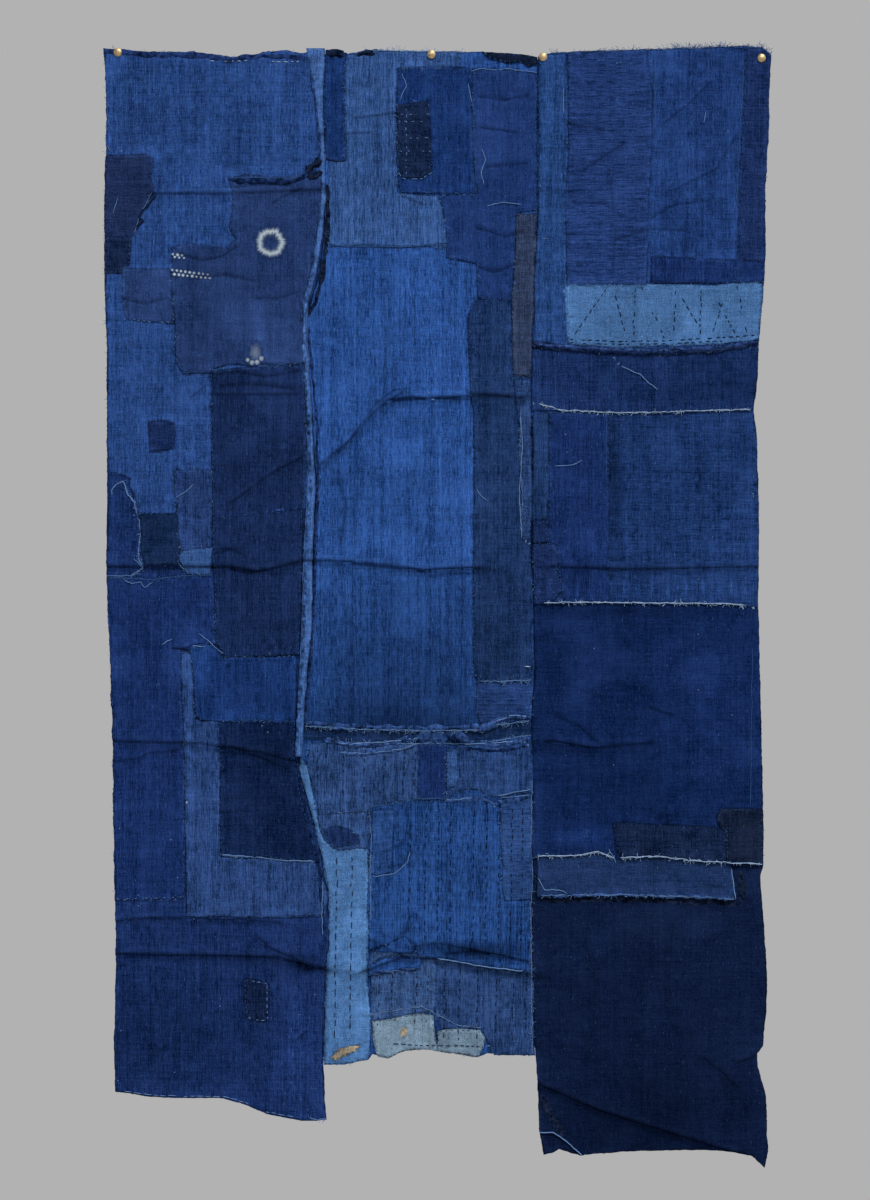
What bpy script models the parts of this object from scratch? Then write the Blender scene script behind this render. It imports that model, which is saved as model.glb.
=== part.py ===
"""A boro cloth: old indigo lengths sewn edge to edge, hung face-on from four wall pins.

Tables and sizes are in millimetres, and MM turns them into metres. X runs to the right, Z up and +Y into
the wall. The origin is on the wall, at the middle of the line of pins.
"""

import math
from collections import namedtuple

import bmesh
import bpy

MM = 0.001
SHEET = 1.2  # one worn cotton cloth and its backing, front to back
LAYER = 1.7  # from the middle of one cloth to the middle of the next one lying on it
WALL_CLEAR = 2.8  # from the wall to the middle of a cloth that nothing lifts
SEAM_GAP = 0.8  # between two panels sewn edge to edge
LAP = 9.0  # how far a length reaches up under the foot of the one above it
TOP, FOOT = 12.0, -1565.0  # the heights the whole cloth runs between
HALF_SPAN = 480.0  # the lattice reaches this far to each side
COLUMN_STEP = 60.0
ROW_STEP = 66.0
SLANT_STEP = 20.0  # between rows where a fold runs aslant
LEAST_ROW = 9.0

# ---------------------------------------------------------------- folds

# A fold is a soft ridge along a path of (across, height) places. It climbs over `above` and drops
# away over `below`.
Fold = namedtuple("Fold", "path rise above below")
FOLDS = {
    "left_first": Fold([(-400, -193), (-290, -194), (-160, -188)], 3.0, 45, 14),
    "left_long": Fold(
        [(-470, -716), (-290, -716), (-250, -723), (-185, -707), (-120, -711), (-20, -722), (60, -718)],
        rise=5.5,
        above=45,
        below=11,
    ),
    "left_low": Fold([(-470, -960), (-330, -963), (-250, -975), (-190, -990)], 5.0, 45, 15),
    "left_hem_crease": Fold([(-460, -1214), (-400, -1207), (-220, -1213)], 3.0, 30, 12),
    "left_hem": Fold([(-460, -1257), (-330, -1259), (-225, -1262), (-150, -1279)], 7.0, 40, 13),
    "middle_first": Fold([(-70, -484), (-20, -480), (50, -477), (120, -479)], 4.5, 32, 13),
    "middle_slant": Fold([(-165, -574), (-120, -537), (-90, -500), (-50, -472)], 4.5, 26, 20),
    "middle_low": Fold([(-110, -1284), (-50, -1262), (0, -1263), (60, -1273), (135, -1286)], 9.0, 34, 15),
    "right_third": Fold([(160, -716), (250, -719), (330, -719), (450, -717)], 5.0, 42, 10),
    "right_fourth": Fold([(150, -960), (215, -970), (300, -962)], 5.0, 40, 22),
    "right_slant": Fold([(135, -1436), (230, -1478), (320, -1504), (430, -1538)], 8.0, 40, 16),
}
FOLD_FADE = 34.0  # over this run a fold dies away at its ends

# How far the cloth stands off the wall at its top and at its foot, across its width.
Stand = namedtuple("Stand", "x top foot")
STANDS = [
    Stand(-470, 0.0, 5.0),
    Stand(-448, 0.0, 8.0),
    Stand(-370, 6.0, 17.0),
    Stand(-280, 9.0, 9.0),
    Stand(-170, 5.0, 22.0),
    Stand(-70, 2.0, 8.0),
    Stand(-8, 0.0, 12.0),
    Stand(60, 3.0, 18.0),
    Stand(148, 0.0, 10.0),
    Stand(235, 5.0, 7.0),
    Stand(340, 6.0, 20.0),
    Stand(455, 0.0, 12.0),
    Stand(472, 0.0, 6.0),
]


def eased(share):
    share = min(1.0, max(0.0, share))
    return share * share * (3.0 - 2.0 * share)


def along(rows, at):
    """Straight-line reading of a table of (place, value) rows, held level past its ends."""
    if at <= rows[0][0]:
        return rows[0][1]
    for (near, first), (far, second) in zip(rows, rows[1:]):
        if at <= far:
            return first + (second - first) * (at - near) / (far - near)
    return rows[-1][1]


def standing(x, z):
    """How far the cloth hangs off the wall, before its folds."""
    down = eased((TOP - z) / (TOP - FOOT))
    for left, right in zip(STANDS, STANDS[1:]):
        if x <= right.x:
            break
    share = eased((x - left.x) / (right.x - left.x))
    top = left.top + (right.top - left.top) * share
    foot = left.foot + (right.foot - left.foot) * share
    return top + (foot - top) * down


def folded(x, z):
    """What the folds add at (x, z)."""
    total = 0.0
    for fold in FOLDS.values():
        first, last = fold.path[0][0], fold.path[-1][0]
        off = z - along(fold.path, x)
        reach = fold.above if off > 0 else fold.below
        ends = eased((x - first) / FOLD_FADE + 1) * eased((last - x) / FOLD_FADE + 1)
        total += fold.rise * ends * eased(1.0 - abs(off) / reach)
    return total


def depth(x, z):
    """The Y of the middle of an unlifted cloth: towards the room is negative."""
    return -(WALL_CLEAR + standing(x, z) + folded(x, z))


# ---------------------------------------------------------------- the lattice every cloth shares

FLAP_ROWS = [-1110.0, -1142.0, -1166.0, -1192.0]  # below the second, the flap stands out from the cloth
PIN_ACROSS = [-448.0, -8.0, 148.6, 455.2]  # a column runs down from each pin


def lattice_rows():
    """Heights a step apart, closer where a fold needs them."""
    wanted = list(FLAP_ROWS)
    for fold in FOLDS.values():
        heights = [z for _, z in fold.path]
        low, high = min(heights), max(heights)
        if high - low < SLANT_STEP * 1.3:
            middle = (low + high) / 2
            wanted += [middle + fold.above, middle + fold.above / 3, middle, middle - fold.below]
        else:
            count = math.ceil((high - low) / SLANT_STEP)
            wanted += [low - fold.below, high + fold.above]
            wanted += [low + (high - low) * i / count for i in range(count + 1)]
    rows = []
    for z in sorted(wanted, reverse=True):
        if not rows or rows[-1] - z > LEAST_ROW:
            rows.append(z)
    count = math.ceil((TOP - FOOT) / ROW_STEP)
    plain = [TOP + 8 + (FOOT - TOP - 16) * i / count for i in range(count + 1)]
    rows += [z for z in plain[1:-1] if all(abs(z - row) > ROW_STEP / 2.6 for row in rows)]
    return sorted(rows + [plain[0], plain[-1]], reverse=True)


def lattice_columns():
    """Places across, a step apart, with one at each pin."""
    count = math.ceil(2 * HALF_SPAN / COLUMN_STEP)
    plain = [-HALF_SPAN + 2 * HALF_SPAN * i / count for i in range(count + 1)]
    kept = [x for x in plain[1:-1] if all(abs(x - at) > COLUMN_STEP / 2.4 for at in PIN_ACROSS)]
    return sorted([-HALF_SPAN, HALF_SPAN] + kept + PIN_ACROSS)


ROWS = lattice_rows()
COLUMNS = lattice_columns()


def facet(x, z):
    """The Y of the faceted cloth at (x, z), where each cell is two triangles."""
    i = max(i for i in range(len(COLUMNS) - 1) if COLUMNS[i] <= x)
    j = max(j for j in range(len(ROWS) - 1) if ROWS[j] >= z)
    left, right, up, down = COLUMNS[i], COLUMNS[i + 1], ROWS[j], ROWS[j + 1]
    u, v = (x - left) / (right - left), (up - z) / (up - down)
    halves = []
    for x_side, z_side, first, second in ((left, down, v, u), (right, up, u, v)):
        side = depth(x_side, z_side)
        halves.append(depth(left, up) * (1 - first) + side * (first - second) + depth(right, down) * second)
    return min(halves)


# ---------------------------------------------------------------- outlines

# The seams between the panels, and the two outer edges: (height, across), from the top down.
LEFT_SEAM = [
    (8, -157), (-60, -160), (-180, -157), (-250, -158), (-310, -164), (-372, -184), (-450, -180),
    (-600, -169), (-700, -172), (-800, -175), (-870, -180), (-985, -193), (-1030, -186), (-1080, -172),
    (-1130, -160), (-1180, -151), (-1250, -151), (-1300, -155), (-1416, -159), (-1492, -155),
]
RIGHT_SEAM = [
    (4, 141), (-220, 141), (-300, 137), (-400, 134), (-480, 131), (-620, 134), (-690, 131), (-760, 135),
    (-870, 136), (-940, 132), (-1030, 134), (-1110, 131), (-1150, 135), (-1190, 131), (-1300, 134),
    (-1405, 137),
]
LEFT_EDGE = [
    (8, -468), (-30, -466), (-90, -464), (-150, -464), (-185, -467), (-330, -467), (-400, -464),
    (-600, -463), (-740, -464), (-830, -460), (-900, -457), (-1000, -453), (-1110, -453), (-1240, -450),
    (-1390, -453), (-1455, -451),
]
RIGHT_EDGE = [
    (-2, 469), (-60, 466), (-100, 466), (-170, 462), (-210, 460), (-280, 461), (-340, 457), (-400, 452),
    (-460, 449), (-498, 444), (-540, 449), (-640, 451), (-770, 450), (-880, 453), (-1000, 455),
    (-1090, 457), (-1139, 456), (-1155, 452), (-1225, 458), (-1300, 462), (-1340, 461), (-1392, 456),
    (-1402, 448), (-1420, 449), (-1460, 460), (-1540, 463),
]
# The edges and hems that run across: (across, height), from left to right.
LEFT_TOP = [
    (-468, 8), (-430, 5), (-400, 1.5), (-340, 1), (-310, -3), (-290, -6), (-265, -6), (-245, 0),
    (-212, 4), (-190, -1), (-157, 4),
]
LEFT_FOOT = [
    (-451, -1456), (-400, -1462), (-300, -1465), (-270, -1473), (-240, -1486), (-190, -1494), (-155, -1493),
]
MIDDLE_TOP = [
    (-157, 4), (-140, 4), (-125, -1), (-113, 0), (-100, 5), (-50, 4), (0, 3), (60, 2), (115, -1), (141, -5),
]
TEAR = [(-187, -941), (-120, -946), (-30, -949), (60, -948), (80, -941), (132, -935)]
TEAR_HEIGHT = 20.0  # between the torn edge and the top of the panel below it
MIDDLE_FOOT = [
    (-159, -1416), (-130, -1416), (-97, -1411), (-90, -1402), (-70, -1409), (-50, -1400), (-20, -1395),
    (20, -1401), (55, -1406), (70, -1401), (137, -1405),
]
BACKING = [(-189, -930), (139, -924), (139, -984), (-60, -984), (-189, -982)]
RIGHT_TOP = [(141, -4), (150, -1), (180, 2), (300, 5), (360, 7), (430, 11), (455, 9), (469, -2)]
FIRST_HEM = [(134, -412), (180, -417), (250, -423), (320, -424), (380, -421), (430, -414), (452, -406)]
SECOND_HEM = [(131, -501), (200, -503), (300, -506), (400, -503), (444, -501)]
THIRD_HEM = [(135, -775), (200, -771), (300, -772), (400, -774), (450, -777)]
FOURTH_HEM = [
    (133, -1128), (200, -1126), (230, -1122), (250, -1130), (310, -1127), (375, -1135), (456, -1139),
]
FLAP_FOOT = [(140, -1182), (270, -1181), (370, -1183), (418, -1187)]
FLAP_HEAD_END = 410.0
RIGHT_FOOT = [
    (149, -1544), (162, -1541), (171, -1536), (200, -1545), (270, -1539), (350, -1535), (400, -1537),
    (440, -1544), (458, -1562), (463, -1540),
]
RIGHT_FOOT_SIDE = [(137, -1405), (140, -1440), (142, -1510), (149, -1544)]

# The pale strip down the left seam, broad at its head where it is turned over.
StripRow = namedtuple("StripRow", "z left right")
SEAM_STRIP = [
    StripRow(6, -183, -157.5),
    StripRow(-50, -174, -160),
    StripRow(-100, -168, -159),
    StripRow(-150, -164, -157),
    StripRow(-200, -163, -156),
    StripRow(-250, -167, -160),
    StripRow(-300, -175, -167),
    StripRow(-350, -187, -180),
    StripRow(-400, -188, -181),
    StripRow(-500, -183, -176),
    StripRow(-600, -182, -170),
    StripRow(-700, -187, -174),
    StripRow(-800, -190, -175),
    StripRow(-900, -194, -184),
    StripRow(-985, -198, -189),
]


def across(rows, height):
    """Where an upright seam or edge stands at a height."""
    return along(sorted(rows), height)


def side(rows, start, end, shift=0.0):
    """The points of an upright edge strictly between two heights, in the order start to end."""
    low, high = sorted((start, end))
    inner = sorted((row for row in rows if low + 2 < row[0] < high - 2), reverse=start > end)
    return [(x + shift, z) for z, x in inner]


def hem(rows, first, last, shift=0.0):
    """An edge that runs across, trimmed to start and end at two places and moved up by `shift`."""
    inner = [(x, z + shift) for x, z in rows if first + 3 < x < last - 3]
    return [(first, along(rows, first) + shift)] + inner + [(last, along(rows, last) + shift)]


def panel(head, right, foot, left, right_shift=0.0, left_shift=0.0):
    """Round a panel: along its head, down its right, back along its foot and up its left."""
    points = list(head) + side(right, head[-1][1], foot[-1][1], right_shift)
    return points + list(reversed(foot)) + side(left, foot[0][1], head[0][1], left_shift)


# ---------------------------------------------------------------- building

for old in list(bpy.data.objects):
    bpy.data.objects.remove(old, do_unlink=True)

cloth_parts = bpy.data.collections.new("boro_patched_cloth")
cutters = bpy.data.collections.new("cutters")
for collection in (cloth_parts, cutters):
    bpy.context.scene.collection.children.link(collection)


def material(name, colour, roughness, metallic=0.0):
    made = bpy.data.materials.new(name)
    made.use_nodes = True
    shader = made.node_tree.nodes["Principled BSDF"]
    shader.inputs["Base Color"].default_value = (*colour, 1.0)
    shader.inputs["Roughness"].default_value = roughness
    shader.inputs["Metallic"].default_value = metallic
    made.diffuse_color = (*colour, 1.0)
    return made


INDIGO = material("indigo_cotton", (0.045, 0.105, 0.27), 0.9)
DARK_INDIGO = material("dark_indigo_cotton", (0.02, 0.04, 0.11), 0.9)
PALE_INDIGO = material("pale_indigo_cotton", (0.16, 0.30, 0.52), 0.9)
BRASS = material("brass_pin", (0.55, 0.42, 0.20), 0.4, 1.0)


def object_of(name, bm, collection, look=None):
    """The bmesh as an object of its collection, facing out. One with no look is a cutter."""
    bmesh.ops.recalc_face_normals(bm, faces=bm.faces)
    mesh = bpy.data.meshes.new(name)
    bm.to_mesh(mesh)
    bm.free()
    made = bpy.data.objects.new(name, mesh)
    collection.objects.link(made)
    if look:
        mesh.materials.append(look)
    else:
        made.hide_render = True
        made.display_type = "WIRE"
    return made


def cut(made, cutter, operation):
    modifier = made.modifiers.new(cutter.name, "BOOLEAN")
    modifier.operation = operation
    modifier.object = cutter


def thicken(bm, by):
    """Draws an open sheet out along Y into a closed solid."""
    grown = bmesh.ops.extrude_face_region(bm, geom=bm.faces[:])["geom"]
    verts = [item for item in grown if isinstance(item, bmesh.types.BMVert)]
    bmesh.ops.translate(bm, verts=verts, vec=(0.0, by * MM, 0.0))


def outline_cutter(name, outline):
    """The outline as a prism through the whole depth of the cloth."""
    front, back = -90.0, 20.0
    bm = bmesh.new()
    bm.faces.new([bm.verts.new((x * MM, front * MM, z * MM)) for x, z in outline])
    thicken(bm, back - front)
    return object_of(name + "_outline", bm, cutters)


def cloth(name, outline, look, lift=(0.0, 0.0), stand_out=0.0):
    """A piece of the folded lattice cut to its outline.

    `lift` counts the layers under it, at its head and at its foot. `stand_out` tips it off them below
    the second of FLAP_ROWS.
    """
    left, right = min(x for x, _ in outline), max(x for x, _ in outline)
    foot, head = min(z for _, z in outline), max(z for _, z in outline)
    columns = [x for x in COLUMNS if left - 1.3 * COLUMN_STEP < x < right + 1.3 * COLUMN_STEP]
    above = min(z for z in ROWS if z > head)
    below = max(z for z in ROWS if z < foot)
    rows = [z for z in ROWS if below <= z <= above]
    bm = bmesh.new()
    bmesh.ops.create_grid(bm, x_segments=len(columns) - 1, y_segments=len(rows) - 1, size=1.0)
    for vert in bm.verts:
        x = columns[round((vert.co.x + 1) / 2 * (len(columns) - 1))]
        z = rows[round((1 - vert.co.y) / 2 * (len(rows) - 1))]
        share = min(1.0, max(0.0, (head - z) / (head - foot)))
        raised = LAYER * (lift[0] + (lift[1] - lift[0]) * share)
        raised += stand_out * max(0.0, FLAP_ROWS[1] - z) / (FLAP_ROWS[1] - FLAP_ROWS[-1])
        vert.co = (x * MM, (depth(x, z) - raised - SHEET / 2) * MM, z * MM)
    bmesh.ops.triangulate(bm, faces=bm.faces, quad_method="FIXED")
    thicken(bm, SHEET)
    made = object_of(name, bm, cloth_parts, look)
    cut(made, outline_cutter(name, outline), "INTERSECT")
    return made


def left_panel():
    head = hem(LEFT_TOP, -468, -157 - SEAM_GAP / 2)
    outline = panel(head, LEFT_SEAM, LEFT_FOOT, LEFT_EDGE, right_shift=-SEAM_GAP / 2)
    return cloth("left_panel", outline, INDIGO)


def middle_panel(name, head, foot, look, lift):
    """One of the two middle panels, between the seams, given its head and foot as (table, shift)."""
    edges = []
    for rows, shift in (head, foot):
        first = across(LEFT_SEAM, rows[0][1] + shift) + SEAM_GAP / 2
        last = across(RIGHT_SEAM, rows[-1][1] + shift) - SEAM_GAP / 2
        edges.append(hem(rows, first, last, shift))
    outline = panel(edges[0], RIGHT_SEAM, edges[1], LEFT_SEAM, -SEAM_GAP / 2, SEAM_GAP / 2)
    return cloth(name, outline, look, lift)


def right_length(name, head, foot, look, lift):
    """One of the lengths down the right, whose head reaches up under the hem above it."""
    first = across(RIGHT_SEAM, foot[0][1]) + SEAM_GAP / 2
    foot_edge = hem(foot, first, across(RIGHT_EDGE, foot[-1][1]))
    if head is RIGHT_TOP:
        head_edge = hem(head, RIGHT_TOP[0][0] + SEAM_GAP / 2, RIGHT_TOP[-1][0])
    else:
        tucked = across(RIGHT_EDGE, head[-1][1]) - 1.5
        head_edge = hem(head, across(RIGHT_SEAM, head[0][1]) + SEAM_GAP / 2, tucked, LAP)
    outline = panel(head_edge, RIGHT_EDGE, foot_edge, RIGHT_SEAM, left_shift=SEAM_GAP / 2)
    return cloth(name, outline, look, lift)


def last_right_length():
    """The long foot of the right side, clear of the middle panel below the middle panel's own foot."""
    head = hem(FOURTH_HEM, across(RIGHT_SEAM, -1120) + SEAM_GAP / 2, 454.5, LAP)
    outline = head + side(RIGHT_EDGE, -1136, -1538) + [(463, -1538)] + list(reversed(RIGHT_FOOT[:-1]))
    outline += [(x + SEAM_GAP / 2, z) for x, z in reversed(RIGHT_FOOT_SIDE[:-1])]
    outline += side(RIGHT_SEAM, -1400, -1124, SEAM_GAP / 2)
    return cloth("right_length_5", outline, DARK_INDIGO)


def flap_strip():
    outline = hem(FOURTH_HEM, FLAP_FOOT[0][0], FLAP_HEAD_END, LAP) + list(reversed(FLAP_FOOT))
    return cloth("flap_strip", outline, INDIGO, lift=(1.1, 1.1), stand_out=6.0)


def seam_strip():
    outline = [(row.right, row.z) for row in SEAM_STRIP]
    outline += [(row.left, row.z) for row in reversed(SEAM_STRIP)]
    return cloth("seam_strip", outline, PALE_INDIGO, lift=(1.2, 3.4))


# ---------------------------------------------------------------- pins

SHANK = 0.7  # radius
SHANK_HOLE = 1.0  # radius of the hole that it makes in the cloth
HEAD_CLEAR = 0.4  # between the head and the cloth
HEAD_REACH = 7.0  # the cloth is cleared this far round a pin
INTO_WALL = 9.0
# A pin's head from its rim under to its crown: (radius, distance out from its underside).
PIN_HEAD = [(5.4, 0.0), (6.1, 0.7), (6.1, 1.4), (5.4, 2.3), (3.6, 3.1), (1.6, 3.5), (0.0, 3.6)]


def head_seat(x, z):
    """The Y that clears the cloth's front all round under a pin's head."""
    turns = [2 * math.pi * i / 12 for i in range(12)]
    places = [(x, z)] + [(x + HEAD_REACH * math.cos(t), z + HEAD_REACH * math.sin(t)) for t in turns]
    return min(facet(*place) for place in places) - SHEET / 2 - HEAD_CLEAR


def wall_pin(name, x, z, held):
    """A turned pin through the cloth: its local Z is the way out of the wall."""
    seat = head_seat(x, z)
    profile = [(radius, out) for radius, out in reversed(PIN_HEAD)]
    profile += [(SHANK, 0.0), (SHANK, seat - INTO_WALL + 3.0), (0.0, seat - INTO_WALL)]
    bm = bmesh.new()
    verts = [bm.verts.new((radius * MM, 0.0, out * MM)) for radius, out in profile]
    for near, far in zip(verts, verts[1:]):
        bm.edges.new((near, far))
    pin = object_of(name, bm, cloth_parts, BRASS)
    pin.location = (x * MM, seat * MM, z * MM)
    pin.rotation_euler = (math.radians(90), 0.0, 0.0)
    screw = pin.modifiers.new("turned", "SCREW")
    screw.steps = screw.render_steps = 18
    screw.use_merge_vertices = True
    screw.merge_threshold = 1e-5
    screw.use_smooth_shade = True
    bm = bmesh.new()
    bmesh.ops.create_cone(
        bm, cap_ends=True, segments=18, radius1=SHANK_HOLE * MM, radius2=SHANK_HOLE * MM, depth=60 * MM
    )
    hole = object_of(name + "_hole", bm, cutters)
    hole.location = pin.location
    hole.rotation_euler = pin.rotation_euler
    cut(held, hole, "DIFFERENCE")


left = left_panel()
middle_upper = middle_panel("middle_upper_panel", (MIDDLE_TOP, 0.0), (TEAR, 0.0), INDIGO, (0.0, 2.0))
middle_panel("middle_lower_panel", (TEAR, -TEAR_HEIGHT), (MIDDLE_FOOT, 0.0), PALE_INDIGO, (0.95, 0.0))
cloth("tear_backing", BACKING, DARK_INDIGO, lift=(-0.92, -0.92))
right_first = right_length("right_length_1", RIGHT_TOP, FIRST_HEM, INDIGO, (0.0, 1.2))
right_length("right_length_2", FIRST_HEM, SECOND_HEM, DARK_INDIGO, (0.0, 1.2))
right_length("right_length_3", SECOND_HEM, THIRD_HEM, INDIGO, (0.0, 1.2))
right_length("right_length_4", THIRD_HEM, FOURTH_HEM, DARK_INDIGO, (0.0, 2.2))
last_right_length()
flap_strip()
seam_strip()
wall_pin("wall_pin_1", PIN_ACROSS[0], 1.2, left)
wall_pin("wall_pin_2", PIN_ACROSS[1], -1.6, middle_upper)
wall_pin("wall_pin_3", PIN_ACROSS[2], -5.2, right_first)
wall_pin("wall_pin_4", PIN_ACROSS[3], -6.6, right_first)
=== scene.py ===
"""The look of the boro cloth: worn indigo patches, running stitches, torn edges and loose threads.

The frame gives the CAD in metres. Tables and sizes here are in millimetres, as in part.py, and MM turns
them into metres. X runs to the right, Z up and +Y into the wall.
"""

import math
from collections import namedtuple

import bmesh
import bpy
import numpy as np
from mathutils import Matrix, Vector
from mathutils.geometry import delaunay_2d_cdt


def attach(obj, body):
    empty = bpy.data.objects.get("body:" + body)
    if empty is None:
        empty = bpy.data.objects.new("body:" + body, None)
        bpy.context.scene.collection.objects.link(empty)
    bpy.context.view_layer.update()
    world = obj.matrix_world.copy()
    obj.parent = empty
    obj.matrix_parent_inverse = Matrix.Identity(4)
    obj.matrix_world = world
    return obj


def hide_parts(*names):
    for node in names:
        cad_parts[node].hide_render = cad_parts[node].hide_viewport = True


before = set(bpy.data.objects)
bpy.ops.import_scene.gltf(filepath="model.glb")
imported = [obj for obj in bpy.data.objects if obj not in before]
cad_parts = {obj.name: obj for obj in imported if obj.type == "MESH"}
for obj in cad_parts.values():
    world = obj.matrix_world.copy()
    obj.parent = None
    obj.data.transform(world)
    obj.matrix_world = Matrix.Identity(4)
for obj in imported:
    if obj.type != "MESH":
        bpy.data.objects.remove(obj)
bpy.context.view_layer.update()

MM = 0.001
SHEET = 1.2  # one worn cotton cloth and its backing, front to back
LAYER = 1.7  # from the middle of one cloth to the middle of the next one lying on it
GATHER_REACH = 19.0  # how far the sewing of an edge puckers the cloth
SEWN_ALL_OVER = 0.14  # how much of that the rest of a cloth has
SEWN_OVER = {"lower": 0.6, "right_2": 0.3, "strip": 0.5}  # and these panels, sewn all over, have
SEAM_SINK, SEAM_SINK_REACH = 0.9, 3.0  # how deep sewing pulls a panel's rim in, and how far from it
RIM_SHADE = 3.2  # how far the painted shade at the rim of a cloth reaches in
COVER_SHADE = 2.6  # and the painted shadow line round a patch
RIM_LOSS = 0.62  # the most light either of these painted shades takes away
GROOVE_LINE, GROOVE_HAZE = 2.3, 11.0  # how far from a groove its painted dark line and its painted soft shade reach
LEAST_TONE, MOST_TONE = 0.45, 1.3  # of the painted light and shade that the surface's hollows and hills add
PATCH_LIFT = 0.8  # from a cloth's front to the front of a patch sewn on it
PATCH_RIM = 1.1  # how far the rim of a patch turns back
HEM_ROLL, HEM_ROLL_AT = 0.75, 4.0  # how high a patch's turned-in hem stands, and how far in its top is
EDGE_PULL = 3.2  # how far in from a patch's rim its stitches pull it down
STITCH_APART = 6.5  # from one of those stitches to the next
WALL_CLEAR = 2.8  # from the wall to the middle of a cloth that nothing lifts
SEAM_GAP = 0.8  # between two panels sewn edge to edge
LAP = 9.0  # how far a length reaches up under the foot of the one above it
TOP, FOOT = 12.0, -1565.0  # the heights the whole cloth runs between
MISSING_STITCHES = 0.12  # the share of a row's stitches that are lost
THIN_TIP = 0.35  # a thread's width at its two ends, as a share of its width
PANEL_STEP = 3.4  # between the points of a panel's mesh
BACK_STEP = 9.0  # and of its back, which lies plainer
PATCH_STEP = 3.2  # between the points of a patch's mesh

# ---------------------------------------------------------------- the hang of the cloth, as in part.py

# A fold is a soft ridge along a path of (across, height) places. It climbs over `above` and drops
# away over `below`.
Fold = namedtuple("Fold", "path rise above below")
FOLDS = {
    "left_first": Fold([(-400, -193), (-290, -194), (-160, -188)], 3.0, 45, 14),
    "left_long": Fold(
        [(-470, -716), (-290, -716), (-250, -723), (-185, -707), (-120, -711), (-20, -722), (60, -718)],
        rise=5.5,
        above=45,
        below=11,
    ),
    "left_low": Fold([(-470, -960), (-330, -963), (-250, -975), (-190, -990)], 5.0, 45, 15),
    "left_hem_crease": Fold([(-460, -1214), (-400, -1207), (-220, -1213)], 3.0, 30, 12),
    "left_hem": Fold([(-460, -1257), (-330, -1259), (-225, -1262), (-150, -1279)], 7.0, 40, 13),
    "middle_first": Fold([(-70, -484), (-20, -480), (50, -477), (120, -479)], 4.5, 32, 13),
    "middle_slant": Fold([(-165, -574), (-120, -537), (-90, -500), (-50, -472)], 4.5, 26, 20),
    "middle_low": Fold([(-110, -1284), (-50, -1262), (0, -1263), (60, -1273), (135, -1286)], 9.0, 34, 15),
    "right_third": Fold([(160, -716), (250, -719), (330, -719), (450, -717)], 5.0, 42, 10),
    "right_fourth": Fold([(150, -960), (215, -970), (300, -962)], 5.0, 40, 22),
    "right_slant": Fold([(135, -1436), (230, -1478), (320, -1504), (430, -1538)], 8.0, 40, 16),
}
FOLD_FADE = 34.0  # over this run a fold dies away at its ends
GROOVE_DROP, GROOVE_DEPTH = 5.0, 1.6  # from the top of a fold down to the groove under it, and its depth
CREASE_DROP = 3.5  # the same drop for a small crease
GROOVE_WIDE = 3.4  # how far a groove reaches to each side
FOLD_RUB_AND_HIGHLIGHT, CREASE_RUB_AND_HIGHLIGHT = 7.0, 4.0  # how far to each side the cloth is rubbed pale along them, which also serves as a painted highlight on the ridge

# How far the cloth stands off the wall at its top and at its foot, across its width.
Stand = namedtuple("Stand", "x top foot")
STANDS = [Stand(*row) for row in (
    (-470, 0.0, 5.0),
    (-448, 0.0, 8.0),
    (-370, 6.0, 17.0),
    (-280, 9.0, 9.0),
    (-170, 5.0, 22.0),
    (-70, 2.0, 8.0),
    (-8, 0.0, 12.0),
    (60, 3.0, 18.0),
    (148, 0.0, 10.0),
    (235, 5.0, 7.0),
    (340, 6.0, 20.0),
    (455, 0.0, 12.0),
    (472, 0.0, 6.0),
)]
FLAP_TURN, FLAP_END, FLAP_OUT = -1142.0, -1192.0, 6.0  # the flap stands out from the cloth below its turn

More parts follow.
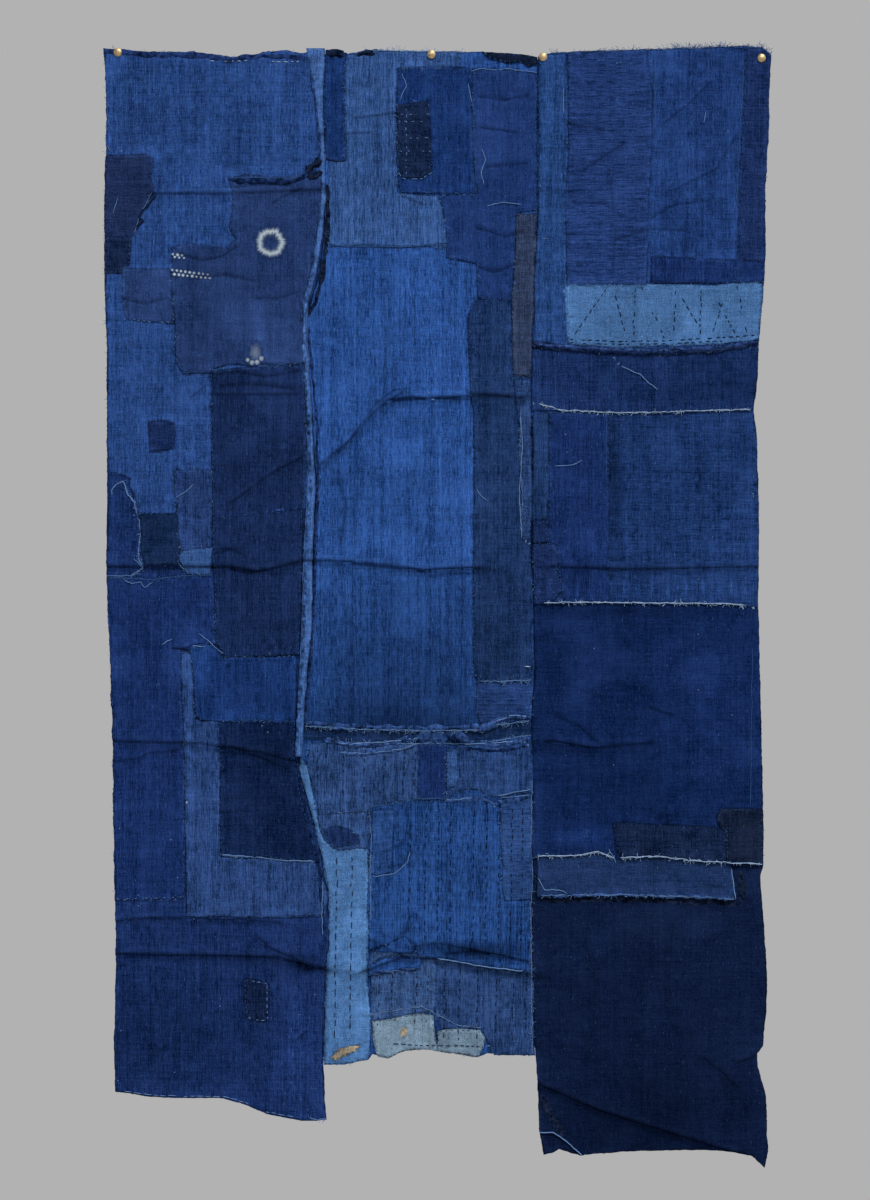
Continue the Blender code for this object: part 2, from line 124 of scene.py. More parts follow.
# Small creases: the same soft ridges, in any direction. A positive rise is a ridge and a negative one
# a groove, and `wide` is how far it reaches to each side.
Crease = namedtuple("Crease", "rise wide path")
CREASES = [Crease(*row) for row in (
    (0.9, 7, [(-282, -186), (-245, -182), (-205, -184)]),
    (0.9, 7, [(-230, -207), (-210, -196), (-190, -188)]),
    (-1.0, 8, [(-255, -345), (-225, -346), (-195, -336)]),
    (2.1, 8, [(-290, -628), (-225, -582), (-185, -562)]),
    (1.0, 8, [(-310, -692), (-275, -692)]),
    (1.2, 8, [(-345, -480), (-310, -452)]),
    (1.0, 8, [(-315, -476), (-190, -476)]),
    (1.3, 9, [(-455, -990), (-420, -986), (-405, -978), (-365, -975)]),
    (1.2, 9, [(-290, -968), (-250, -983), (-210, -1000)]),
    (-1.6, 10, [(-205, -1262), (-178, -1282), (-155, -1280)]),
    (2.6, 10, [(-250, -1236), (-232, -1250), (-205, -1262), (-180, -1281)]),
    (1.2, 9, [(-200, -1380), (-178, -1362)]),
    (0.8, 7, [(-115, -88), (-55, -80)]),
    (0.8, 7, [(-130, -110), (-92, -108)]),
    (1.1, 8, [(-50, -197), (-20, -209)]),
    (1.5, 9, [(-155, -572), (-130, -550), (-105, -515), (-85, -488), (-60, -470), (-52, -469)]),
    (1.3, 7, [(-65, -484), (-35, -479), (-18, -482)]),
    (1.4, 7, [(0, -481), (45, -483)]),
    (1.4, 7, [(47, -475), (100, -478)]),
    (1.6, 8, [(-168, -711), (-120, -710)]),
    (1.2, 8, [(-100, -712), (-50, -717), (-20, -722), (50, -718)]),
    (1.0, 7, [(-10, -731), (30, -727), (50, -727)]),
    (-2.2, 11, [(-95, -1258), (-65, -1249), (-45, -1231), (-38, -1210)]),
    (1.6, 8, [(-97, -1277), (-80, -1265), (-50, -1257), (-28, -1255)]),
    (2.0, 9, [(-30, -1247), (0, -1243), (40, -1250), (130, -1270)]),
    (1.6, 7, [(-90, -1240), (-70, -1252), (-45, -1262), (-28, -1262)]),
    (-1.4, 7, [(10, -1262), (45, -1258), (90, -1264), (128, -1274)]),
    (1.2, 10, [(160, -960), (215, -970)]),
    (1.0, 10, [(300, -915), (330, -925)]),
    (1.6, 12, [(372, -1403), (400, -1425), (420, -1445)]),
    (2.0, 9, [(450, -1400), (420, -1411)]),
    (1.8, 9, [(142, -1512), (162, -1512), (178, -1522), (203, -1545)]),
    (-1.6, 12, [(150, -1475), (165, -1500), (178, -1515)]),
    (0.9, 9, [(240, -160), (250, -240), (246, -300)]),
    (0.9, 12, [(-395, -1300), (-380, -1370), (-392, -1440)]),
    (0.9, 12, [(330, -1210), (322, -1290), (335, -1370)]),
    (0.9, 12, [(205, -1225), (222, -1300), (214, -1400)]),
    (1.0, 10, [(366, -560), (372, -640), (360, -700)]),
    (0.9, 10, [(-75, -330), (-70, -400), (-78, -455)]),
    (0.9, 10, [(-20, -590), (-12, -650), (-24, -700)]),
    (0.8, 10, [(-125, -760), (-118, -850), (-124, -925)]),
    (-0.8, 5, [(205, -165), (235, -145), (262, -128)]),
    (-0.8, 5, [(300, -232), (330, -215), (372, -208)]),
    (0.9, 6, [(318, -95), (350, -70), (380, -40)]),
    (-0.8, 5, [(190, -210), (235, -212)]),
    (-0.7, 5, [(180, -100), (230, -108)]),
    (0.8, 6, [(330, -190), (390, -160), (420, -110)]),
    (-0.8, 5, [(250, -262), (300, -248), (350, -250)]),
    (-0.9, 4, [(58, -62), (95, -66), (128, -60)]),
    (-0.9, 4, [(62, -105), (110, -112)]),
    (-0.8, 4, [(70, -160), (125, -155)]),
    (-0.9, 4, [(55, -246), (95, -258), (120, -252)]),
    (-1.0, 5, [(55, -300), (80, -308), (112, -296)]),
    (-0.9, 5, [(-362, -283), (-330, -292), (-300, -286), (-280, -272)]),
    (-0.9, 5, [(-345, -318), (-300, -312), (-250, -322)]),
    (-0.9, 5, [(-318, -452), (-280, -448), (-240, -455), (-195, -447)]),
    (-0.9, 5, [(-305, -468), (-250, -466), (-200, -472)]),
    (-0.9, 5, [(-310, -702), (-290, -697), (-275, -702)]),
    (-1.0, 5, [(-290, -724), (-265, -730), (-240, -725)]),
    (-1.0, 4, [(-75, -1122), (-52, -1112), (-42, -1095)]),
    (-0.9, 4, [(-68, -1142), (-50, -1138), (-36, -1120)]),
    (-0.8, 5, [(165, -930), (200, -945), (225, -968)]),
    (-0.9, 5, [(-440, -345), (-410, -352), (-385, -346)]),
    (-0.8, 5, [(-140, -590), (-128, -640), (-136, -690)]),
)]

# ---------------------------------------------------------------- shapes of the surface


def eased(share):
    share = np.clip(share, 0.0, 1.0)
    return share * share * (3.0 - 2.0 * share)


def along(rows, at):
    """Straight-line reading of a table of (place, value) rows, held level past its ends."""
    places, values = zip(*sorted(rows))
    return np.interp(at, places, values)


def standing(x, z):
    """How far the cloth hangs off the wall, before its folds."""
    down = eased((TOP - z) / (TOP - FOOT))
    places, tops, feet = np.array(STANDS, float).T
    index = np.clip(np.searchsorted(places, x) - 1, 0, len(STANDS) - 2)
    share = eased((x - places[index]) / (places[index + 1] - places[index]))
    top = tops[index] + (tops[index + 1] - tops[index]) * share
    foot = feet[index] + (feet[index + 1] - feet[index]) * share
    return top + (foot - top) * down


def folded(x, z):
    """What the folds add at (x, z)."""
    total = np.zeros_like(x)
    for fold in FOLDS.values():
        first, last = fold.path[0][0], fold.path[-1][0]
        off = z - along(fold.path, x)
        reach = np.where(off > 0, fold.above, fold.below)
        ends = eased((x - first) / FOLD_FADE + 1) * eased((last - x) / FOLD_FADE + 1)
        total += fold.rise * ends * eased(1.0 - np.abs(off) / reach)
    return total


def distance_to(path, x, z):
    """The distance from each (x, z) to an open path of (across, height) places."""
    nearest = np.full(np.shape(x), 1e9)
    for (ax, az), (bx, bz) in zip(path, path[1:]):
        dx, dz = bx - ax, bz - az
        share = np.clip(((x - ax) * dx + (z - az) * dz) / max(dx * dx + dz * dz, 1e-9), 0, 1)
        nearest = np.minimum(nearest, np.hypot(x - ax - dx * share, z - az - dz * share))
    return nearest


def distance_within(path, x, z, reach):
    """distance_to, worked out only where it can be under `reach`, which is what it gives elsewhere."""
    px, pz = np.array(path, float).T
    close = (x > px.min() - reach) & (x < px.max() + reach)
    close &= (z > pz.min() - reach) & (z < pz.max() + reach)
    found = np.full(np.shape(x), float(reach))
    found[close] = np.minimum(reach, distance_to(path, x[close], z[close]))
    return found


def grooves():
    """The sharp lines under the folds and beside the creases: (path, depth)."""
    found = []
    for fold in FOLDS.values():
        found.append(([(px, pz - GROOVE_DROP) for px, pz in fold.path], GROOVE_DEPTH))
    for crease in CREASES:
        drop = 0.0 if crease.rise < 0 else CREASE_DROP
        found.append(([(px, pz - drop) for px, pz in crease.path], 0.5 + 0.4 * abs(crease.rise)))
    return found


def creased(x, z):
    """What the small creases add at (x, z), with the sharp grooves."""
    total = np.zeros_like(x)
    for crease in CREASES:
        total += crease.rise * eased(1.0 - distance_within(crease.path, x, z, crease.wide) / crease.wide)
    for path, depth in grooves():
        total -= depth * eased(1.0 - distance_within(path, x, z, GROOVE_WIDE) / GROOVE_WIDE)
    return total


LATTICE = np.random.default_rng(11).random((256, 256))  # what soft_noise reads


def soft_noise(x, z, size, turn=0):
    """Smooth noise from -1 to 1 whose blots are `size` mm across."""
    u, v = x / size + 37.3 * turn, z / size + 91.7 * turn
    i, j = np.floor(u).astype(int), np.floor(v).astype(int)
    a, b = eased(u - i), eased(v - j)
    corner = [LATTICE[(i + di) % 256, (j + dj) % 256] for di in (0, 1) for dj in (0, 1)]
    near = corner[0] * (1 - b) + corner[1] * b
    far = corner[2] * (1 - b) + corner[3] * b
    return 2 * (near * (1 - a) + far * a) - 1


def rumple(x, z):
    """The small unevenness that hand sewing and age leave all over the cloth."""
    long_waves = 0.8 * soft_noise(x, z * 0.45, 38) + 0.4 * soft_noise(x * 0.6, z, 24, 1)
    small = 0.42 * soft_noise(x, z, 11, 2) + 0.20 * soft_noise(x, z * 0.8, 6, 3)
    return long_waves + small + 0.42 * soft_noise(x * 0.3, z, 8.5, 16)


def relief(x, z):
    """How far the front of an unlifted cloth stands out from the wall."""
    return WALL_CLEAR + SHEET / 2 + standing(x, z) + folded(x, z) + creased(x, z) + rumple(x, z)


# ---------------------------------------------------------------- outlines, as in part.py

# The seams between the panels, and the two outer edges: (height, across), from the top down.
LEFT_SEAM = [
    (8, -157), (-60, -160), (-180, -157), (-250, -158), (-310, -164), (-372, -184), (-450, -180),
    (-600, -169), (-700, -172), (-800, -175), (-870, -180), (-985, -193), (-1030, -186), (-1080, -172),
    (-1130, -160), (-1180, -151), (-1250, -151), (-1300, -155), (-1416, -159), (-1492, -155),
]
RIGHT_SEAM = [
    (4, 141), (-220, 141), (-300, 137), (-400, 134), (-480, 131), (-620, 134), (-690, 131), (-760, 135),
    (-870, 136), (-940, 132), (-1030, 134), (-1110, 131), (-1150, 135), (-1190, 131), (-1300, 134),
    (-1405, 137),
]
LEFT_EDGE = [
    (8, -468), (-30, -466), (-90, -464), (-150, -464), (-185, -467), (-330, -467), (-400, -464),
    (-600, -463), (-740, -464), (-830, -460), (-900, -457), (-1000, -453), (-1110, -453), (-1240, -450),
    (-1390, -453), (-1455, -451),
]
RIGHT_EDGE = [
    (-2, 469), (-60, 466), (-100, 466), (-170, 462), (-210, 460), (-280, 461), (-340, 457), (-400, 452),
    (-460, 449), (-498, 444), (-540, 449), (-640, 451), (-770, 450), (-880, 453), (-1000, 455),
    (-1090, 457), (-1139, 456), (-1155, 452), (-1225, 458), (-1300, 462), (-1340, 461), (-1392, 456),
    (-1402, 448), (-1420, 449), (-1460, 460), (-1540, 463),
]
# The edges and hems that run across: (across, height), from left to right.
LEFT_TOP = [
    (-468, 8), (-430, 5), (-400, 1.5), (-340, 1), (-310, -3), (-290, -6), (-265, -6), (-245, 0),
    (-212, 4), (-190, -1), (-157, 4),
]
LEFT_FOOT = [
    (-451, -1456), (-400, -1462), (-300, -1465), (-270, -1473), (-240, -1486), (-190, -1494), (-155, -1493),
]
MIDDLE_TOP = [
    (-157, 4), (-140, 4), (-125, -1), (-113, 0), (-100, 5), (-50, 4), (0, 3), (60, 2), (115, -1), (141, -5),
]
TEAR = [(-187, -941), (-120, -946), (-30, -949), (60, -948), (80, -941), (132, -935)]
TEAR_HEIGHT = 20.0  # between the torn edge and the top of the panel below it
MIDDLE_FOOT = [
    (-159, -1416), (-130, -1416), (-97, -1411), (-90, -1402), (-70, -1409), (-50, -1400), (-20, -1395),
    (20, -1401), (55, -1406), (70, -1401), (137, -1405),
]
BACKING = [(-189, -930), (139, -924), (139, -984), (-60, -984), (-189, -982)]
RIGHT_TOP = [(141, -4), (150, -1), (180, 2), (300, 5), (360, 7), (430, 11), (455, 9), (469, -2)]
FIRST_HEM = [(134, -412), (180, -417), (250, -423), (320, -424), (380, -421), (430, -414), (452, -406)]
SECOND_HEM = [(131, -501), (200, -503), (300, -506), (400, -503), (444, -501)]
THIRD_HEM = [(135, -775), (200, -771), (300, -772), (400, -774), (450, -777)]
FOURTH_HEM = [
    (133, -1128), (200, -1126), (230, -1122), (250, -1130), (310, -1127), (375, -1135), (456, -1139),
]
FLAP_FOOT = [(140, -1182), (270, -1181), (370, -1183), (418, -1187)]
FLAP_HEAD_END = 410.0
RIGHT_FOOT = [
    (149, -1544), (162, -1541), (171, -1536), (200, -1545), (270, -1539), (350, -1535), (400, -1537),
    (440, -1544), (458, -1562), (463, -1540),
]
RIGHT_FOOT_SIDE = [(137, -1405), (140, -1440), (142, -1510), (149, -1544)]

# The pale strip down the left seam, broad at its head where it is turned over.
StripRow = namedtuple("StripRow", "z left right")
SEAM_STRIP = [StripRow(*row) for row in (
    (6, -183, -157.5),
    (-50, -174, -160),
    (-100, -168, -159),
    (-150, -164, -157),
    (-200, -163, -156),
    (-250, -167, -160),
    (-300, -175, -167),
    (-350, -187, -180),
    (-400, -188, -181),
    (-500, -183, -176),
    (-600, -182, -170),
    (-700, -187, -174),
    (-800, -190, -175),
    (-900, -194, -184),
    (-985, -198, -189),
)]


def across(rows, height):
    """Where an upright seam or edge stands at a height."""
    return float(along(rows, height))


def side(rows, start, end, shift=0.0):
    """The points of an upright edge strictly between two heights, in the order start to end."""
    low, high = sorted((start, end))
    inner = sorted((row for row in rows if low + 2 < row[0] < high - 2), reverse=start > end)
    return [(x + shift, z) for z, x in inner]


def hem(rows, first, last, shift=0.0):
    """An edge that runs across, trimmed to start and end at two places and moved up by `shift`."""
    inner = [(x, z + shift) for x, z in rows if first + 3 < x < last - 3]
    return [(first, across(rows, first) + shift)] + inner + [(last, across(rows, last) + shift)]


def panel(head, right, foot, left, right_shift=0.0, left_shift=0.0):
    """Round a panel: along its head, down its right, back along its foot and up its left."""
    points = list(head) + side(right, head[-1][1], foot[-1][1], right_shift)
    return points + list(reversed(foot)) + side(left, foot[0][1], head[0][1], left_shift)


def left_panel_outline():
    head = hem(LEFT_TOP, -468, -157 - SEAM_GAP / 2)
    return panel(head, LEFT_SEAM, LEFT_FOOT, LEFT_EDGE, right_shift=-SEAM_GAP / 2)


def middle_outline(head, foot):
    """One of the two middle panels, between the seams, given its head and foot as (table, shift)."""
    edges = []
    for rows, shift in (head, foot):
        first = across(LEFT_SEAM, rows[0][1] + shift) + SEAM_GAP / 2
        last = across(RIGHT_SEAM, rows[-1][1] + shift) - SEAM_GAP / 2
        edges.append(hem(rows, first, last, shift))
    return panel(edges[0], RIGHT_SEAM, edges[1], LEFT_SEAM, -SEAM_GAP / 2, SEAM_GAP / 2)


def right_outline(head, foot):
    """One of the lengths down the right, whose head reaches up under the hem above it."""
    first = across(RIGHT_SEAM, foot[0][1]) + SEAM_GAP / 2
    foot_edge = hem(foot, first, across(RIGHT_EDGE, foot[-1][1]))
    if head is RIGHT_TOP:
        head_edge = hem(head, RIGHT_TOP[0][0] + SEAM_GAP / 2, RIGHT_TOP[-1][0])
    else:
        tucked = across(RIGHT_EDGE, head[-1][1]) - 1.5
        head_edge = hem(head, across(RIGHT_SEAM, head[0][1]) + SEAM_GAP / 2, tucked, LAP)
    return panel(head_edge, RIGHT_EDGE, foot_edge, RIGHT_SEAM, left_shift=SEAM_GAP / 2)


def last_right_outline():
    """The long foot of the right side, clear of the middle panel below the middle panel's own foot."""
    head = hem(FOURTH_HEM, across(RIGHT_SEAM, -1120) + SEAM_GAP / 2, 454.5, LAP)
    outline = head + side(RIGHT_EDGE, -1136, -1538) + [(463, -1538)] + list(reversed(RIGHT_FOOT[:-1]))
    outline += [(x + SEAM_GAP / 2, z) for x, z in reversed(RIGHT_FOOT_SIDE[:-1])]
    return outline + side(RIGHT_SEAM, -1400, -1124, SEAM_GAP / 2)


def flap_outline():
    return hem(FOURTH_HEM, FLAP_FOOT[0][0], FLAP_HEAD_END, LAP) + list(reversed(FLAP_FOOT))


def strip_outline():
    outline = [(row.right, row.z) for row in SEAM_STRIP]
    return outline + [(row.left, row.z) for row in reversed(SEAM_STRIP)]


# Each cloth here stands for one CAD node. `lift` counts the layers under it, at its head and foot.
Panel = namedtuple("Panel", "node dye outline lift slot")
PANELS = {
    "left": Panel("left_panel", "left_ground", left_panel_outline(), (0.0, 0.0), "indigo_cotton"),
    "upper": Panel(
        "middle_upper_panel",
        "bright_ground",
        middle_outline((MIDDLE_TOP, 0.0), (TEAR, 0.0)),
        (0.0, 2.0),
        "indigo_cotton",
    ),
    "lower": Panel(
        "middle_lower_panel",
        "sashiko_blue",
        middle_outline((TEAR, -TEAR_HEIGHT), (MIDDLE_FOOT, 0.0)),
        (0.95, 0.0),
        "pale_indigo_cotton",
    ),
    "backing": Panel("tear_backing", "black_teal", BACKING, (-0.92, -0.92), "dark_indigo_cotton"),
    "right_1": Panel(
        "right_length_1", "first_ground", right_outline(RIGHT_TOP, FIRST_HEM), (0.0, 1.2), "indigo_cotton"
    ),
    "right_2": Panel(
        "right_length_2",
        "second_ground",
        right_outline(FIRST_HEM, SECOND_HEM),
        (0.0, 1.2),
        "dark_indigo_cotton",
    ),
    "right_3": Panel(
        "right_length_3", "third_ground", right_outline(SECOND_HEM, THIRD_HEM), (0.0, 1.2), "indigo_cotton"
    ),
    "right_4": Panel(
        "right_length_4",
        "fourth_ground",
        right_outline(THIRD_HEM, FOURTH_HEM),
        (0.0, 2.2),
        "dark_indigo_cotton",
    ),
    "right_5": Panel(
        "right_length_5", "fifth_ground", last_right_outline(), (0.0, 0.0), "dark_indigo_cotton"
    ),
    "flap": Panel("flap_strip", "flap_ground", flap_outline(), (1.1, 1.1), "indigo_cotton"),
    "strip": Panel("seam_strip", "strip_blue", strip_outline(), (1.2, 3.4), "pale_indigo_cotton"),
}

# ---------------------------------------------------------------- dyes

# The cloths: the dye's linear colour, how strongly its threads differ from one another (up and
# down, and across), how blotchy it is, and how many pale slubs show.
Dye = namedtuple("Dye", "colour warp weft blots slubs")
DYES = {
    "left_ground": Dye((0.009, 0.027, 0.108), 0.9, 0.5, 0.7, 0.5),
    "upper_blue": Dye((0.020, 0.060, 0.207), 0.9, 0.5, 0.6, 0.6),
    "plum_navy": Dye((0.010, 0.026, 0.098), 0.7, 0.7, 0.6, 0.3),
    "black_navy": Dye((0.0075, 0.018, 0.062), 0.8, 0.7, 0.6, 0.4),
    "slate_blue": Dye((0.019, 0.045, 0.145), 0.6, 0.3, 0.4, 0.2),
    "dusk_blue": Dye((0.016, 0.039, 0.128), 0.6, 0.3, 0.6, 0.1),
    "deep_indigo": Dye((0.008, 0.022, 0.080), 0.8, 0.4, 0.5, 0.2),
    "dull_indigo": Dye((0.016, 0.041, 0.138), 1.0, 0.5, 0.8, 0.6),
    "black_teal": Dye((0.006, 0.019, 0.062), 0.6, 0.7, 0.6, 0.4),
    "royal_navy": Dye((0.009, 0.028, 0.116), 0.8, 0.4, 0.6, 0.3),
    "pale_steel": Dye((0.020, 0.052, 0.163), 1.1, 0.4, 0.9, 0.5),
    "royal_blue": Dye((0.009, 0.034, 0.138), 0.8, 0.4, 0.6, 0.2),
    "black_slate": Dye((0.0045, 0.015, 0.058), 0.8, 0.6, 0.6, 0.2),
    "pale_stripe": Dye((0.032, 0.083, 0.238), 1.1, 0.3, 0.6, 0.4),
    "black_weave": Dye((0.007, 0.017, 0.054), 0.8, 0.8, 0.7, 0.5),
    "dull_royal": Dye((0.013, 0.038, 0.147), 0.6, 0.3, 0.5, 0.2),
    "taupe": Dye((0.029, 0.046, 0.100), 0.6, 0.5, 0.4, 0.3),
    "teal_navy": Dye((0.011, 0.033, 0.106), 0.9, 0.5, 0.7, 0.5),
    "worn_steel": Dye((0.019, 0.048, 0.145), 1.1, 0.6, 0.9, 0.8),
    "worn_weft": Dye((0.021, 0.057, 0.192), 0.3, 1.1, 0.6, 0.6),
    "grey_sashiko": Dye((0.022, 0.056, 0.162), 1.3, 0.5, 0.9, 0.7),
    "field_mend": Dye((0.018, 0.057, 0.188), 1.0, 0.5, 0.6, 0.5),
    "faded_sky": Dye((0.029, 0.078, 0.220), 0.7, 0.5, 0.7, 0.4),
    "black_cloth": Dye((0.005, 0.011, 0.030), 0.6, 0.6, 0.6, 0.3),
    "sky_blue": Dye((0.062, 0.154, 0.340), 0.35, 0.35, 0.4, 0.1),
    "steel_blue": Dye((0.018, 0.049, 0.152), 1.1, 0.5, 0.8, 0.6),
    "sashiko_blue": Dye((0.013, 0.049, 0.175), 1.4, 0.5, 0.6, 0.5),
    "steel_navy": Dye((0.018, 0.050, 0.157), 0.4, 1.0, 0.4, 0.3),
    "grey_violet": Dye((0.030, 0.070, 0.180), 1.1, 0.5, 0.7, 0.7),
    "slate_sashiko": Dye((0.020, 0.051, 0.150), 1.0, 0.5, 0.7, 0.5),
    "pale_grey": Dye((0.150, 0.225, 0.300), 0.4, 0.3, 0.6, 0.2),
    "tan": Dye((0.235, 0.200, 0.145), 0.3, 0.3, 0.5, 0.2),
    "slate_weft": Dye((0.016, 0.043, 0.157), 0.3, 1.1, 0.4, 0.3),
    "selvage_plum": Dye((0.013, 0.027, 0.088), 0.4, 0.7, 0.3, 0.1),
    "bright_ground": Dye((0.021, 0.072, 0.255), 1.1, 0.4, 0.5, 0.4),
    "first_ground": Dye((0.014, 0.044, 0.163), 0.8, 0.5, 0.7, 0.4),
    "second_ground": Dye((0.009, 0.027, 0.102), 0.8, 0.6, 0.7, 0.3),
    "third_ground": Dye((0.011, 0.035, 0.126), 0.8, 0.8, 0.6, 0.4),
    "fourth_ground": Dye((0.0045, 0.017, 0.074), 0.5, 0.5, 0.6, 0.1),
    "flap_ground": Dye((0.012, 0.031, 0.099), 0.4, 0.6, 0.6, 0.4),
    "fifth_ground": Dye((0.0035, 0.0108, 0.041), 0.4, 0.4, 0.4, 0.0),
    "strip_blue": Dye((0.047, 0.112, 0.300), 0.7, 0.5, 0.6, 0.4),
}
PALE_THREAD = (0.10, 0.19, 0.38)
WHITE_THREAD = (0.25, 0.35, 0.51)
BLUE_THREAD = (0.03, 0.08, 0.22)
DARK_THREAD = (0.004, 0.010, 0.035)
THREAD_PERIOD = 0.9  # from one thread of the weave to the next


class Nodes:
    """A short way to write a material's nodes: each call adds a node and gives its first output."""

    def __init__(self, name):
        self.material = bpy.data.materials.new(name)
        self.material.use_nodes = True
        self.tree = self.material.node_tree
        self.shader = self.tree.nodes["Principled BSDF"]

    def add(self, kind, output=0, settings=(), **inputs):
        node = self.tree.nodes.new("ShaderNode" + kind)
        for key, value in dict(settings).items():
            setattr(node, key, value)
        for key, value in inputs.items():
            socket = node.inputs[int(key[1:]) if key[0] == "_" else key.replace("_", " ")]
            self.feed(socket, value)
        return node.outputs[output]

    def feed(self, socket, value):
        if isinstance(value, bpy.types.NodeSocket):
            self.tree.links.new(value, socket)
        else:
            socket.default_value = value

    def sum(self, *terms):
        total = terms[0]
        for term in terms[1:]:
            total = self.add("Math", settings={"operation": "ADD"}, _0=total, _1=term)
        return total

    def times(self, first, second):
        return self.add("Math", settings={"operation": "MULTIPLY"}, _0=first, _1=second)

    def spread(self, fac):
        """A noise texture's output, which keeps near 0.5, spread from 0 to 1."""
        return self.add("MapRange", Value=fac, From_Min=0.28, From_Max=0.72)

    def noise(self, at, scale, detail=2.0):
        """Blotches `scale` millimetres across, from 0 to 1 about 0.5."""
        fac = self.add("TexNoise", Vector=at, Scale=1.0 / (scale * MM), Detail=detail, Roughness=0.6)
        return self.spread(fac)

    def stretched(self, at, wide, high, offset=0.0):
        """Noise whose blotches are `wide` across and `high` up and down, in millimetres."""
        scaled = self.add(
            "Mapping",
            Vector=at,
            Location=(offset, 0.0, offset * 0.7),
            Scale=(1.0 / (wide * MM), 0.0, 1.0 / (high * MM)),
        )
        fac = self.add("TexNoise", Vector=scaled, Scale=1.0, Detail=2.0, Roughness=0.55)
        return self.spread(fac)

    def tint(self, fac, low, high):
        """From one colour to another."""
        low, high = (way if isinstance(way, bpy.types.NodeSocket) else (*way, 1.0) for way in (low, high))
        return self.add("Mix", output=2, settings={"data_type": "RGBA"}, Factor=fac, _6=low, _7=high)

    def centred(self, value, strength):
        """A value from 0 to 1 as one from -strength/2 to strength/2."""
        moved = self.add("Math", settings={"operation": "SUBTRACT"}, _0=value, _1=0.5)
        return self.times(moved, strength)

    def painted(self, name):
        """What the mesh was painted with, point by point."""
        return self.add("Attribute", output=2, settings={"attribute_name": name})


def cloth_material(name, dye, turn):
    """Old plain-woven cotton: uneven threads each way, blots, pale slubs, and the weave as bump."""
    nodes = Nodes(name)
    at = nodes.add("TexCoord", output=3)
    place = nodes.add("SeparateXYZ", Vector=at)
    height = place.node.outputs[2]
    warp = nodes.stretched(at, 1.4, 14, turn)
    warp_bands = nodes.stretched(at, 3.0, 110, turn + 3.1)
    stripes = nodes.stretched(at, 9.0, 420, turn + 4.9)
    weft = nodes.stretched(at, 14, 1.5, turn + 5.7)
    weft_bands = nodes.stretched(at, 90, 3.2, turn + 7.9)
    blots = nodes.noise(at, 30, 4.0)
    fine = nodes.noise(at, 1.5, 1.0)
    turns = 2 * math.pi / (THREAD_PERIOD * MM)
    waves = []
    for axis in (place, height):
        angle = nodes.times(axis, turns)
        waves.append(nodes.add("Math", settings={"operation": "SINE"}, _0=angle))
    weave = nodes.times(waves[0], waves[1])
    share = nodes.sum(
        0.40,
        nodes.centred(warp, 0.72 * dye.warp),
        nodes.centred(warp_bands, 0.42 * dye.warp),
        nodes.centred(stripes, 0.28 * dye.warp),
        nodes.centred(weft, 0.62 * dye.weft),
        nodes.centred(weft_bands, 0.45 * dye.weft),
        nodes.centred(blots, 0.48 * dye.blots),
        nodes.centred(fine, 0.42),
        nodes.times(weave, 0.06),
        # the painted wear, with its painted highlight on ridges, pales the cloth
        nodes.painted("worn"),
    )
    share = nodes.add("Clamp", Value=share, Min=0.0, Max=1.8)
    deep = tuple(max(0.0004, scale * c - 0.001) for c, scale in zip(dye.colour, (0.34, 0.38, 0.42)))
    pale = tuple(
        scale * c + more for c, scale, more in zip(dye.colour, (1.85, 1.80, 1.80), (0.005, 0.005, 0.008))
    )
    colour = nodes.tint(share, deep, pale)
    slub = nodes.stretched(at, 1.3, 8.0, turn + 9.3)
    slub = nodes.add("MapRange", Value=slub, From_Min=0.88 - 0.14 * dye.slubs, From_Max=1.0, To_Max=1.0)
    slub_colour = tuple(1.9 * c + more for c, more in zip(dye.colour, (0.030, 0.045, 0.065)))
    colour = nodes.tint(slub, colour, slub_colour)
    if name == "cotton_resist":
        undyed = nodes.tint(nodes.centred(fine, 0.6), (0.42, 0.50, 0.56), (0.62, 0.66, 0.66))
        soft = nodes.sum(nodes.times(nodes.painted("bleed"), 1.15), nodes.centred(warp, 0.25))
        colour = nodes.tint(nodes.times(nodes.painted("bleed"), soft), colour, undyed)
    # the painted tone, which carries painted shade and painted light, scales the colour
    tone = nodes.painted("tone")
    toned = nodes.add("VectorMath", settings={"operation": "SCALE"}, _0=colour, Scale=tone)
    nodes.feed(nodes.shader.inputs["Base Color"], toned)
    roughness = nodes.add("MapRange", Value=blots, To_Min=0.84, To_Max=0.96)
    nodes.feed(nodes.shader.inputs["Roughness"], roughness)
    nodes.shader.inputs["Specular IOR Level"].default_value = 0.0
    rise = nodes.sum(
        nodes.times(weave, 0.5), nodes.times(warp, 1.1), nodes.times(weft, 1.0), nodes.times(fine, 1.0)
    )
    bump = nodes.add("Bump", Height=rise, Strength=0.8, Distance=0.35 * MM)
    nodes.feed(nodes.shader.inputs["Normal"], bump)
    return nodes.material


def thread_material(name, colour):
    """Soft cotton thread, a little uneven along its length."""
    nodes = Nodes(name)
    at = nodes.add("TexCoord", output=3)
    blots = nodes.noise(at, 5.0)
    fine = nodes.noise(at, 0.8)
    fac = nodes.sum(nodes.times(blots, 0.6), nodes.times(fine, 0.4))
    tinted = nodes.tint(fac, tuple(0.55 * c for c in colour), tuple(min(1.0, 1.35 * c) for c in colour))
    nodes.feed(nodes.shader.inputs["Base Color"], tinted)
    nodes.shader.inputs["Roughness"].default_value = 0.9
    nodes.shader.inputs["Specular IOR Level"].default_value = 0.06
    bump = nodes.add("Bump", Height=fine, Strength=0.5, Distance=0.15 * MM)
    nodes.feed(nodes.shader.inputs["Normal"], bump)
    return nodes.material


